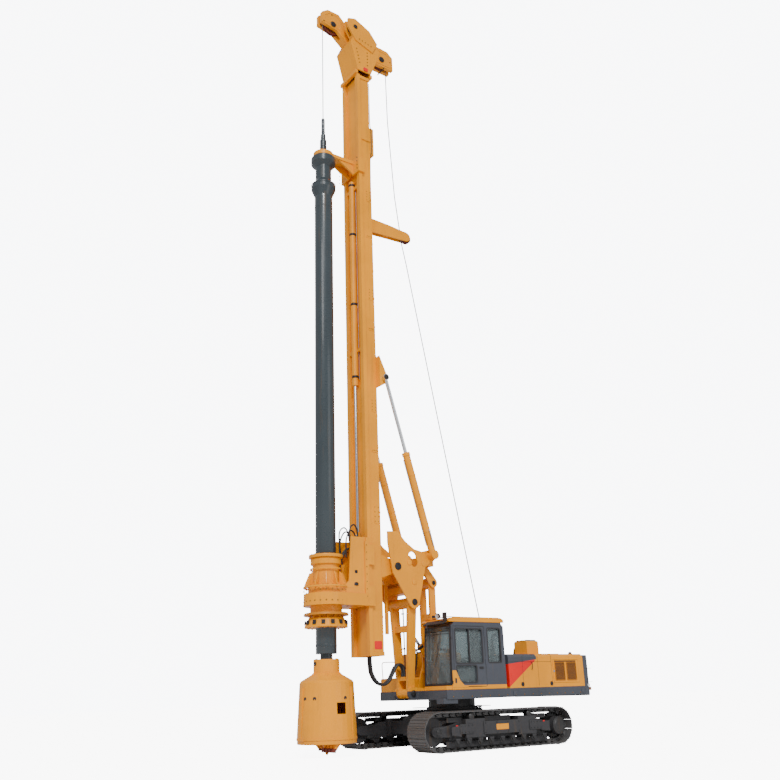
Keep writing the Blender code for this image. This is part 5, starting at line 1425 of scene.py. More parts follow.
def draw_tail(bolt):
    dark, grey, lamp, bolts, white = Kit(), Kit(), Kit(), Kit(), Kit()
    back = TAIL_LOW.x
    for z in (1.50, 1.86):
        dark.box(back - 0.002, back + 0.004, -1.44, 1.44, z, z + 0.008)
    for y in (-0.80, 0.80):
        grey.prism(
            arc((back + 0.12, TAIL_HIGH.z + 0.06), 0.06, 0, 180, 9) + [
                (back + 0.06, TAIL_HIGH.z - 0.01), (back + 0.18, TAIL_HIGH.z - 0.01)
            ],
            y - 0.02,
            y + 0.02,
        )
    for y in (-1.28, 1.28):
        lamp.prism(rounded(y - 0.07, y + 0.07, 1.30, 1.36, 0.012), back - 0.006, back + 0.002, "X")
        dark.sheet_with_hole(
            rounded(y - 0.085, y + 0.085, 1.285, 1.375, 0.02),
            rounded(y - 0.068, y + 0.068, 1.302, 1.358, 0.012),
            back - 0.010,
            back + 0.002,
            "X",
        )
    for y in (-1.20, -0.60, 0.60, 1.20):
        bolts_on_ring(bolts, (back - 0.001, y, 1.70), (-1, 0, 0), 4, 0.07, bolt * 0.9)
    for side in (1, -1):
        white.lathe([(0.045, 0), (0.045, 0.003)], (back + 0.17, side * 1.4495, 1.42), (0, side, 0), 24)
        for z in (1.50, 1.86):
            dark.box(back + 0.01, -3.605, side * 1.4485, side * 1.4515, z, z + 0.008)
    dark.finish("tail_seams", "black", "upper", "dark_paint", 0.001)
    grey.finish("tail_lifting_eyes", "grey", "upper", "slate_paint", 0.004)
    lamp.finish("tail_lamps", "amber", "upper", "glazing", 0.002)
    bolts.finish("tail_bolts", "dark_steel", "upper", "dark_paint")
    white.finish("tail_discs", "white", "upper", "yellow_paint", 0.001)


def draw_tank(rail):
    dark, steel, yellow, pipes = Kit(), Kit(), Kit(), Kit()
    low, high = span("hydraulic_tank")
    box_high = span("tool_box")[1]
    face = -SIDE + 0.018
    for x in (-0.45, 0.15):
        dark.lathe(
            [(0.09, 0), (0.09, 0.03), (0.075, 0.035), (0.075, 0.06), (0.03, 0.07)],
            (x, -1.15, high.z),
            (0, 0, 1),
            24,
        )
    dark.box(-0.2, -0.14, face - 0.012, face + 0.002, 1.70, 2.20)
    for x in (low.x + 0.03, -0.10, high.x - 0.03):
        yellow.box(x - 0.012, x + 0.012, face - 0.008, face + 0.002, low.z + 0.04, high.z - 0.03)
    for k in range(5):
        y = -0.62 - 0.075 * k
        pipes.tube(
            smooth(
                [
                    (-0.60, y, high.z - 0.01),
                    (-0.60, y, high.z + 0.07),
                    (-0.52, y, high.z + 0.10),
                    (0.50, y, high.z + 0.10),
                    (0.62, y, high.z + 0.06),
                    (0.66, y + 0.02, high.z - 0.20),
                    (0.80, y + 0.05, box_high.z + 0.03),
                    (1.15, y + 0.12, box_high.z + 0.02),
                ],
                5,
            ),
            0.020,
            10,
        )
        dark.box(-0.05, 0.0, y - 0.03, y + 0.03, high.z - 0.002, high.z + 0.085)
    for x in (0.72, 1.14):
        dark.lathe([(0.030, 0), (0.030, 0.01), (0.018, 0.014)], (x, face, 1.64), (0, -1, 0), 16)
    dark.box(0.64, 1.25, face - 0.0015, face + 0.002, 1.700, 1.706)
    steel.tube(
        smooth(
            [
                (1.22, -1.42, box_high.z - 0.02),
                (1.24, -1.42, 2.05),
                (1.23, -1.42, 2.14),
                (1.16, -1.42, 2.18),
                (0.70, -1.42, 2.18),
                (0.62, -1.42, 2.17),
            ],
            5,
        ),
        rail * 0.36,
        10,
    )
    dark.finish("tank_caps_and_clamps", "black", "upper", "dark_paint", 0.002)
    yellow.finish("tank_ribs", "yellow", "upper", "yellow_paint", 0.002)
    pipes.finish("tank_pipes", "rubber", "upper", "hose_rubber")
    steel.finish("front_handrail", "yellow", "upper", "yellow_paint")


def window_frame(kit, x0, x1, z0, z1, y0, y1, wide=0.032, radius=0.06):
    kit.sheet_with_hole(
        rounded(x0 - wide, x1 + wide, z0 - wide, z1 + wide, radius),
        rounded(x0 + 0.002, x1 - 0.002, z0 + 0.002, z1 - 0.002, radius * 0.7),
        y0,
        y1,
    )


def draw_cab(bolt):
    door, sills, dark, steel, lamp, yellow = Kit(), Kit(), Kit(), Kit(), Kit(), Kit()
    face = 1.45
    window_frame(door, 0.07, 0.94, 2.04, 2.86, face - 0.004, face + 0.006)
    window_frame(door, 0.30, 0.94, 1.58, 1.96, face - 0.004, face + 0.006)
    door.box(0.475, 0.515, face - 0.040, face + 0.006, 2.04, 2.86)
    door.prism(rounded(0.06, 0.20, 1.885, 1.945, 0.02), face - 0.002, face + 0.008)
    door.tube(
        smooth(
            [
                (0.085, face, 1.915),
                (0.09, face + 0.024, 1.915),
                (0.17, face + 0.024, 1.915),
                (0.175, face, 1.915),
            ],
            4,
        ),
        0.008,
        8,
    )
    door.finish("door_gaskets_and_handle", "plastic", "cab_door_leaf", "dark_paint", 0.002)
    sills.prism(
        [
            (1.115, 1.45),
            (1.115, 1.80),
            (1.08, 1.86),
            (0.98, 1.86),
            (0.86, 1.62),
            (0.74, 1.51),
            (0.60, 1.47),
            (0.60, 1.45),
        ],
        face - 0.001,
        face + 0.009,
    )
    window_frame(dark, -0.56, -0.14, 2.05, 2.88, face - 0.052, face + 0.004)
    window_frame(dark, -0.50, 0.92, 2.05, 2.88, 0.326, 0.336)
    edge = rounded(-0.035, 1.035, 1.458, 2.945, 0.04)
    dark.sheet_with_hole(edge, rounded(-0.024, 1.024, 1.469, 2.934, 0.036), face - 0.02, face + 0.002)
    sills.box(-0.70, 1.12, face - 0.001, face + 0.004, 1.405, 1.452)
    sills.box(1.10, 1.30, 0.55, 1.44, 1.405, 1.50)
    sills.lathe([(0.036, 0), (0.036, 0.002)], (1.20, 1.441, 1.452), (0, 1, 0), 20)
    for x in (1.18, 1.26):
        steel.tube([(x, 0.62, 1.502), (x, 1.40, 1.502)], 0.006, 8)
    outline = [(1.16, 3.045), (1.30, 2.985), (1.31, 3.000), (1.17, 3.090)]
    dark.prism(outline, 0.60, 1.42)
    dark.prism(rounded(0.965, 1.025, 1.55, 1.68, 0.028), face + 0.008, face + 0.0105)
    for y in (0.36, 1.385):
        dark.prism([(1.118, 1.52), (1.132, 1.52), (1.075, 2.96), (1.061, 2.96)], y, y + 0.035)
    dark.prism([(1.116, 1.515), (1.135, 1.515), (1.133, 1.56), (1.114, 1.56)], 0.36, 1.42)
    for z in (2.76, 2.82, 2.88, 2.94):
        dark.bar((1.075 + (2.96 - z) * 0.04, 0.37, z), (1.075 + (2.96 - z) * 0.04, 1.41, z), 0.007, 8)
    dark.tube(
        smooth([(1.10, 0.80, 1.98), (1.125, 0.86, 2.15), (1.125, 1.02, 2.50), (1.12, 1.06, 2.62)], 4),
        0.009,
        8,
    )
    dark.tube([(1.13, 0.93, 2.40), (1.13, 1.12, 2.84)], 0.008, 8)
    mirror_arm = smooth([(1.12, 1.40, 3.05), (1.22, face + 0.02, 3.10), (1.28, face + 0.04, 3.16)], 6)
    steel.tube(mirror_arm, 0.010, 10)
    dark.prism(rounded(face - 0.04, face + 0.12, 3.06, 3.26, 0.03), 1.275, 1.30, "X")
    steel.tube(
        smooth([(1.09, 1.46, 1.60), (1.14, 1.49, 1.62), (1.14, 1.49, 2.60), (1.09, 1.46, 2.62)], 5),
        0.014,
        10,
    )
    dark.lathe(
        [(0.040, -0.08), (0.065, -0.05), (0.075, 0), (0.075, 0.012)], (1.26, 1.16, 3.19), (1, 0, -0.15), 20
    )
    lamp.lathe([(0.066, 0.006), (0.066, 0.014), (0.05, 0.018)], (1.26, 1.16, 3.19), (1, 0, -0.15), 20)
    steel.bar((1.17, 1.16, 3.15), (1.22, 1.16, 3.18), 0.012, 8)
    lamp.lathe(
        [(0.045, 0), (0.045, 0.06), (0.035, 0.09), (0.01, 0.10)], (-0.55, 0.55, ROOF_HIGH.z), (0, 0, 1), 20
    )
    bolts = bolts_in_row(
        Kit(), (-0.60, 1.35, ROOF_HIGH.z), (1.0, 1.35, ROOF_HIGH.z), (0, 0, 1), 6, bolt * 0.6
    )
    bolts_in_row(bolts, (-0.60, 0.42, ROOF_HIGH.z), (1.0, 0.42, ROOF_HIGH.z), (0, 0, 1), 6, bolt * 0.6)
    yellow.sheet_with_hole(
        rounded(-0.66, 1.12, 0.38, 1.40, 0.08),
        rounded(-0.60, 1.06, 0.44, 1.34, 0.06),
        ROOF_HIGH.z - 0.002,
        ROOF_HIGH.z + 0.014,
        "Z",
    )
    dark.finish("cab_gaskets_and_wiper", "plastic", "upper", "dark_paint", 0.002)
    sills.finish("cab_sill_and_step", "yellow", "upper", "yellow_paint", 0.004)
    steel.finish("cab_rails", "black", "upper", "dark_paint")
    lamp.finish("work_lamps", "lamp", "upper", "glazing", 0.001)
    bolts.finish("roof_bolts", "dark_steel", "upper", "dark_paint")
    yellow.finish("roof_panel", "yellow", "upper", "yellow_paint", 0.004)


def draw_cab_room():
    floor = CAB_LOW.z + 0.052
    liner, plastic, screen = Kit(), Kit(), Kit()
    liner.prism(rounded(-0.62, 1.00, 0.41, 1.37, 0.05), floor, floor + 0.010, "Z")
    for x in (-0.2, 0.1, 0.4, 0.7):
        liner.box(x, x + 0.02, 0.44, 1.34, floor + 0.008, floor + 0.014)
    for side in (1, -1):
        y = 0.89 + side * 0.33
        plastic.prism(
            [
                (-0.10, floor + 0.01),
                (0.38, floor + 0.01),
                (0.42, floor + 0.52),
                (0.38, floor + 0.60),
                (-0.10, floor + 0.64),
            ],
            y - 0.07,
            y + 0.07,
        )
        stick = (0.32, y, floor + 0.62)
        plastic.lathe(
            [
                (0.045, 0),
                (0.036, 0.05),
                (0.012, 0.08),
                (0.012, 0.15),
                (0.026, 0.17),
                (0.030, 0.25),
                (0.018, 0.29),
            ],
            stick,
            (0.1, 0, 1),
            16,
        )
    plastic.prism(
        [(0.94, floor + 0.01), (1.02, floor + 0.01), (0.98, floor + 0.50), (0.92, floor + 0.50)], 0.70, 1.08
    )
    plastic.prism(
        [(0.86, floor + 0.50), (0.90, floor + 0.84), (0.93, floor + 0.84), (0.89, floor + 0.50)], 0.46, 0.74
    )
    screen.prism(
        [(0.852, floor + 0.53), (0.888, floor + 0.81), (0.892, floor + 0.81), (0.856, floor + 0.53)],
        0.49,
        0.71,
    )
    for y in (0.80, 0.98):
        plastic.prism(
            [(0.70, floor + 0.02), (0.84, floor + 0.13), (0.86, floor + 0.11), (0.72, floor)],
            y - 0.05,
            y + 0.05,
        )
        plastic.bar((0.70, y, floor + 0.04), (0.62, y, floor + 0.45), 0.012, 8)
    liner.finish("cab_floor_mat", "liner", "upper", "dark_paint", 0.003)
    plastic.finish("consoles_and_levers", "plastic", "upper", "dark_paint", 0.008)
    screen.finish("monitor", "screen", "upper", "glazing", 0.001)
    seat = Kit()
    low, high = span("operator_seat")
    y0, y1 = low.y + 0.14, high.y - 0.14
    seat.prism(rounded(low.x + 0.12, high.x, low.z + 0.42, low.z + 0.56, 0.05, 6), y0, y1)
    back = [
        (low.x + 0.12, low.z + 0.50),
        (low.x + 0.26, low.z + 0.52),
        (low.x + 0.17, low.z + 0.95),
        (low.x + 0.11, low.z + 0.98),
        (low.x + 0.02, low.z + 0.94),
    ]
    seat.prism(back, y0 + 0.01, y1 - 0.01)
    seat.prism(
        [
            (low.x + 0.03, high.z - 0.20),
            (low.x + 0.12, high.z - 0.20),
            (low.x + 0.12, high.z - 0.01),
            (low.x + 0.03, high.z - 0.02),
        ],
        y0 + 0.12,
        y1 - 0.12,
    )
    seat.bar((low.x + 0.09, y0 + 0.2, low.z + 0.9), (low.x + 0.075, y0 + 0.2, high.z - 0.15), 0.012)
    for side in (y0 - 0.055, y1 + 0.005):
        seat.prism(rounded(low.x + 0.15, low.x + 0.50, low.z + 0.66, low.z + 0.71, 0.02), side, side + 0.05)
        seat.prism(
            [
                (low.x + 0.15, low.z + 0.55),
                (low.x + 0.20, low.z + 0.55),
                (low.x + 0.20, low.z + 0.68),
                (low.x + 0.15, low.z + 0.68),
            ],
            side + 0.01,
            side + 0.04,
        )
    seat.prism(rounded(low.x + 0.18, high.x - 0.08, low.z + 0.01, low.z + 0.43, 0.03), y0 + 0.06, y1 - 0.06)
    cushion = seat.finish("padded_seat", "seat", "upper", "seat_fabric", 0.022, replaces=("operator_seat",))
    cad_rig.padded(cushion, 0.85)


def draw_winch(bolt, rope):
    winding, dark, bolts = Kit(), Kit(), Kit()
    centre = centre_of("winch_drum")
    x, z = centre.x - AXIS_X, centre.z
    low, high = span("winch_drum")
    count = int((high.y - low.y - 0.08) / rope)
    turn = Kit().lathe(
        [
            (0.21 + rope / 2 + rope / 2 * cos(2 * pi * i / 8), rope / 2 * sin(2 * pi * i / 8))
            for i in range(8)
        ],
        segments=36,
        closed=True,
    ).mesh("turn")
    rows = run_tree("row", turn, "rope", Count=count, Step=(0, 0, rope))
    winding.add(rows, place_at((x, low.y + 0.04 + rope / 2, z), (0, 1, 0)))
    for side, y in ((1, high.y), (-1, low.y)):
        bolts_on_ring(bolts, (x, y, z), (0, side, 0), 10, 0.12, bolt * 0.7, 0.012)
    frame_low, frame_high = span("winch_frame")
    for side, y in ((1, frame_high.y), (-1, frame_low.y)):
        dark.lathe([(0.15, 0), (0.15, 0.05), (0.11, 0.09), (0.05, 0.10)], (x, y, z), (0, side, 0), 28)
    winding.finish("drum_rope", "rope", "drum", "dark_paint")
    bolts.finish("drum_bolts", "dark_steel", "drum", "dark_paint")
    dark.finish("winch_motors", "dark_steel", "upper", "dark_paint", 0.003)


# ------------------------------------------------------------------ boom, links and cylinders
BOOM_PINS = (
    ("upper", (1.50, 1.35), 0.34, 0.075),
    ("boom_body", (1.50, 3.60), 0.545, 0.085),
    ("upper", (0.66, 1.91), 0.30, 0.055),
    ("triangle_body", (0.66, 4.16), 0.31, 0.055),
    ("mast_body", (2.00, 4.50), 0.546, 0.10),
    ("triangle_body", (0.90, 4.84), 0.547, 0.075),
    ("mast_body", (2.29, 9.69), 0.712, 0.070),
    ("upper", (0.20, 1.58), 0.14, 0.050),
    ("boom_body", (1.33, 2.95), 0.11, 0.050),
)


def draw_boom():
    for index, (body, (x, z), reach, radius) in enumerate(BOOM_PINS):
        caps = Kit()
        for side in (1, -1):
            pin_cap(caps, (x, side * reach, z), (0, side, 0), radius, 0.022)
        caps.finish(f"pin_caps_{index + 1}", "black", body, "dark_paint", 0.002)
    black, hoses, yellow, red = Kit(), Kit(), Kit(), Kit()
    for side in (1, -1):
        hoses.tube(
            smooth(
                [
                    (1.40, side * 0.20, 1.72),
                    (1.345, side * 0.20, 2.05),
                    (1.345, side * 0.20, 2.6),
                    (1.345, side * 0.20, 3.2),
                    (1.35, side * 0.20, 3.48),
                ],
                6,
            ),
            0.016,
            8,
        )
        for z in (1.95, 2.45, 2.95, 3.35):
            black.box(1.325, 1.37, side * 0.18, side * 0.26, z, z + 0.035)
    black.finish("boom_clamps", "black", "boom_body", "dark_paint", 0.003)
    hoses.finish("boom_hoses", "rubber", "boom_body", "hose_rubber")
    face = 0.546
    for side in (1, -1):
        for x, z in ((1.15, 4.62), (1.48, 4.12), (1.62, 4.62)):
            yellow.lathe(
                [(0.075, 0), (0.075, 0.012), (0.055, 0.016)],
                (x, side * (face - 0.001), z),
                (0, side, 0),
                24,
            )
    for k in range(4):
        y = -0.10 + 0.065 * k
        hoses = Kit()
        hoses.tube(
            smooth([(0.95, y, 4.06), (1.06, y, 4.20), (1.22, y, 4.24), (1.38, y, 4.10)], 6), 0.016, 8
        )
        hoses.finish(f"triangle_hose_{k + 1}", "rubber", "triangle_body", "hose_rubber")
    yellow.finish("triangle_bosses", "yellow", "triangle_body", "yellow_paint", 0.003)
    for side, name in ((1, "left"), (-1, "right")):
        gland, pipes = Kit(), Kit()
        y = side * 0.65
        start, end = Vector((0.90, y, 4.84)), Vector((2.29, y, 9.69))
        along = (end - start).normalized()
        top = start + along * 2.86
        gland.lathe(
            [
                (0.098, -0.10),
                (0.112, -0.095),
                (0.112, -0.012),
                (0.090, 0.0),
                (0.062, 0.006),
                (0.062, -0.002),
            ],
            top,
            along,
            28,
            True,
        )
        for share in (0.62, 1.4, 2.2):
            gland.lathe(
                [(0.098, 0), (0.107, 0.005), (0.107, 0.045), (0.098, 0.05)],
                start + along * share,
                along,
                28,
                True,
            )
        across = Vector((along.z, 0, -along.x))
        outward = Vector((0, side, 0))
        path = [
            start + along * 0.25 + across * 0.10,
            start + along * 0.30 + across * 0.135,
            start + along * 2.66 + across * 0.135,
            start + along * 2.70 + across * 0.10,
        ]
        pipes.tube(path, 0.012, 10)
        path = [
            start + along * 0.22 + outward * 0.09,
            start + along * 0.28 + outward * 0.125,
            start + along * 0.66 + outward * 0.125,
            start + along * 0.70 + outward * 0.09,
        ]
        pipes.tube(path, 0.012, 10)
        gland.finish(f"{name}_tilt_gland", "yellow", "tilt_barrels", "yellow_paint", 0.002)
        pipes.finish(f"{name}_tilt_pipes", "steel", "tilt_barrels", "rod_chrome")
    luff = Kit()
    start, end = Vector((0.20, 0, 1.58)), Vector((1.33, 0, 2.95))
    along = (end - start).normalized()
    luff.lathe(
        [(0.073, -0.08), (0.085, -0.075), (0.085, -0.01), (0.06, 0.0), (0.048, 0.004), (0.048, -0.002)],
        start + along * 1.25,
        along,
        28,
        True,
    )
    luff.lathe(
        [(0.073, 0), (0.081, 0.004), (0.081, 0.04), (0.073, 0.045)], start + along * 0.5, along, 28, True
    )
    luff.finish("luff_gland", "black", "luff_barrel_body", "dark_paint", 0.002)
    for y in (-0.165, 0.165):
        red.prism(
            rounded(0.60, 0.72, 2.6, 3.3, 0.02),
            y - 0.0765 * (y < 0) + (0.0765 - 0.003) * (y > 0),
            y - 0.0735 * (y < 0) + 0.0765 * (y > 0),
        )
    red.finish("link_pads", "black", "link_body", "dark_paint", 0.002)


# ------------------------------------------------------------------ mast
def draw_mast(bolt):
    side_face, back = MAST_HALF_WIDTH, 2.42
    plates, bolts, red, black, weld, chrome = Kit(), Kit(), Kit(), Kit(), Kit(), Kit()
    for side in (1, -1):
        out = (0, side, 0)
        y = side * side_face
        for z0, z1 in ((5.6, 6.1), (8.7, 9.1), (12.1, 12.5), (15.4, 15.8)):
            plates.prism(rounded(2.45, 2.62, z0, z1, 0.04), y - side * 0.002, y + side * 0.008)
            bolts_in_row(
                bolts,
                (2.48, y + side * 0.008, z0 + 0.06),
                (2.48, y + side * 0.008, z1 - 0.06),
                out,
                4,
                bolt * 0.5,
            )
            bolts_in_row(
                bolts,
                (2.59, y + side * 0.008, z0 + 0.06),
                (2.59, y + side * 0.008, z1 - 0.06),
                out,
                4,
                bolt * 0.5,
            )
        for z in (7.60, 11.2, 14.2, 17.60):
            plates.prism(
                [(2.43, z - 0.05), (2.64, z - 0.05), (2.64, z + 0.05), (2.43, z + 0.05)],
                y - side * 0.002,
                y + side * 0.010,
            )
            bolts_in_row(
                bolts, (2.46, y + side * 0.010, z), (2.61, y + side * 0.010, z), out, 4, bolt * 0.5
            )
        red.prism(rounded(2.47, 2.70, 2.42, 2.62, 0.02), y - side * 0.002, y + side * 0.006)
        weld.tube([(2.425, y, 2.5), (2.425, y, 17.5)], 0.006, 6)
        weld.tube([(2.765, y, 2.5), (2.765, y, 17.5)], 0.006, 6)
        black.tube([(back - 0.03, side * 0.30, 2.6), (back - 0.03, side * 0.30, 14.4)], 0.018, 8)
        black.tube([(back - 0.03, side * 0.25, 2.6), (back - 0.03, side * 0.25, 9.6)], 0.014, 8)
    for z in [3.2 + 0.9 * i for i in range(13)]:
        black.box(back - 0.055, back + 0.002, 0.22, 0.34, z, z + 0.05)
        black.box(back - 0.055, back + 0.002, -0.34, -0.22, z, z + 0.05)
    for z in (9.75, 12.0, 14.3, 16.0):
        black.lathe(
            [(0.091, 0), (0.097, 0.01), (0.097, 0.07), (0.091, 0.08)], (2.862, 0, z), (0, 0, 1), 28, True
        )
    chrome.tube([(2.805, 0.12, 9.7), (2.805, 0.12, 16.0)], 0.010, 8)
    bolts_in_row(bolts, (back - 0.002, -0.20, 17.62), (back - 0.002, 0.05, 17.62), (-1, 0, 0), 4, bolt)
    for y in (-0.425, 0.402):
        plates.prism([(2.40, 19.86), (2.80, 19.86), (2.80, 19.98), (2.40, 19.98)], y, y + 0.023)
    plates.finish("mast_plates", "yellow", "mast_body", "yellow_paint", 0.004)
    bolts.finish("mast_bolts", "bolt", "mast_body", "dark_paint")
    red.finish("mast_foot_plates", "red", "mast_body", "dark_paint", 0.003)
    weld.finish("mast_welds", "yellow", "mast_body", "yellow_paint")
    black.finish("mast_pipes_and_clamps", "black", "mast_body", "dark_paint", 0.002)
    chrome.finish("crowd_pipe", "steel", "mast_body", "rod_chrome")




def draw_head(bolt):
    plates, bolts, dark, red, lamp, cords = Kit(), Kit(), Kit(), Kit(), Kit(), Kit()
    arm_side, near_side = 0.17, 0.53
    for side in (1, -1):
        out = (0, side, 0)
        y = side * arm_side
        plates.sheet_with_hole(
            [
                (1.32, 21.05), (2.05, 21.05), (2.92, 21.26), (3.34, 21.66), (3.92, 21.78), (3.92, 22.06),
                (3.74, 22.22), (3.40, 22.22), (3.14, 21.95), (2.12, 21.65), (1.50, 21.60), (1.32, 21.46),
            ],
            [
                (1.40, 21.11), (2.05, 21.11), (2.89, 21.31), (3.31, 21.71), (3.86, 21.83), (3.86, 22.03),
                (3.71, 22.16), (3.43, 22.16), (3.18, 21.90), (2.14, 21.59), (1.52, 21.54), (1.40, 21.44),
            ],
            y - side * 0.004,
            y + side * 0.010,
        )
        for x, z, r in ((3.57, 21.78, 0.10), (1.70, 21.25, 0.10)):
            pin_cap(dark, (x, y, z), out, r, 0.03)
        dark.prism(rounded(2.55, 2.95, 21.45, 21.56, 0.05), y + side * 0.001, y + side * 0.005)
    pin_cap(dark, (2.95, near_side, 21.72), (0, 1, 0), 0.075, 0.025)
    bolts_in_row(bolts, (2.36, near_side, 21.20), (2.80, near_side, 21.30), (0, 1, 0), 5, bolt * 0.8)
    for x, z in ((3.62, 22.13), (3.92, 21.76)):
        dark.bar((x, -0.19, z), (x, 0.19, z), 0.018, 12)
    for x, z in ((1.36, 21.28), (1.62, 20.92)):
        dark.bar((x, -0.19, z), (x, 0.19, z), 0.018, 12)
    for y in (-0.45, 0.51):
        red.box(2.50, 2.66, y, y + 0.012, 20.14, 20.26)
    bolts_in_row(bolts, (2.50, 0.503, 20.4), (2.50, 0.503, 20.9), (0, 1, 0), 5, bolt * 0.8)
    bolts_in_row(bolts, (2.80, 0.503, 20.4), (2.90, 0.503, 20.9), (0, 1, 0), 5, bolt * 0.8)
    bolts_in_row(bolts, (2.44, -0.363, 20.4), (2.44, -0.363, 20.9), (0, -1, 0), 5, bolt * 0.8)
    lamp.lathe([(0.05, 0), (0.05, 0.08), (0.04, 0.10)], (3.10, -0.10, 22.10), (0, 0, 1), 18)
    cords.tube(
        smooth(
            [
                (2.42, 0.36, 14.4),
                (2.40, 0.37, 16.9),
                (2.40, 0.45, 17.2),
                (2.40, 0.45, 18.0),
                (2.40, 0.40, 18.3),
                (2.40, 0.40, 19.8),
            ],
            6,
        ),
        0.012,
        8,
    )
    plates.finish("head_edge_plates", "yellow", "mast_body", "yellow_paint", 0.003)
    bolts.finish("head_bolts", "bolt", "mast_body", "dark_paint")
    dark.finish("head_pins_and_guards", "black", "mast_body", "dark_paint", 0.002)
    red.finish("head_blank_plates", "red", "mast_body", "dark_paint", 0.002)
    lamp.finish("head_beacon", "amber", "mast_body", "glazing", 0.002)
    cords.finish("head_cable", "rubber", "mast_body", "hose_rubber")


def draw_sheaves():
    """Grooved rims, spokes and hubs over the plain wheels."""
    for body, node, count in (
        ("front_sheave", "head_front_sheave", 8),
        ("rear_sheave", "head_rear_sheave", 8),
        ("side_sheave", "head_side_sheave", 6),
        ("rope_guide_sheave", "guide_sheave", 6),
    ):
        low, high = span(node)
        radius = (high.x - low.x) / 2
        centre = ((low.x + high.x) / 2, (low.y + high.y) / 2, (low.z + high.z) / 2)
        half = min((high.y - low.y) / 2, 0.045)
        wheel = Kit()
        wheel.lathe(
            [
                (radius, -half + 0.002),
                (radius - 0.012, -half + 0.001),
                (radius - 0.055, -0.012),
                (radius - 0.055, 0.012),
                (radius - 0.012, half - 0.001),
                (radius, half - 0.002),
                (radius - 0.005, half),
                (radius - 0.075, half - 0.012),
                (radius - 0.085, -half + 0.012),
                (radius - 0.005, -half),
            ],
            centre,
            (0, 1, 0),
            48,
            True,
        )
        spoke = Kit().box(0.045, radius - 0.07, -0.020, 0.020, -0.012, 0.012).mesh("spoke")
        wheel.add(run_tree("ring", spoke, "sheave", Count=count, Radius=0.001), place_at(centre, (0, 1, 0)))
        wheel.lathe(
            [(0.075, -half), (0.085, -half + 0.008), (0.085, half - 0.008), (0.075, half)],
            centre,
            (0, 1, 0),
            32,
        )
        wheel.finish(f"{node}_wheel", "sheave", body, "dark_paint", 0.0, replaces=(node,))


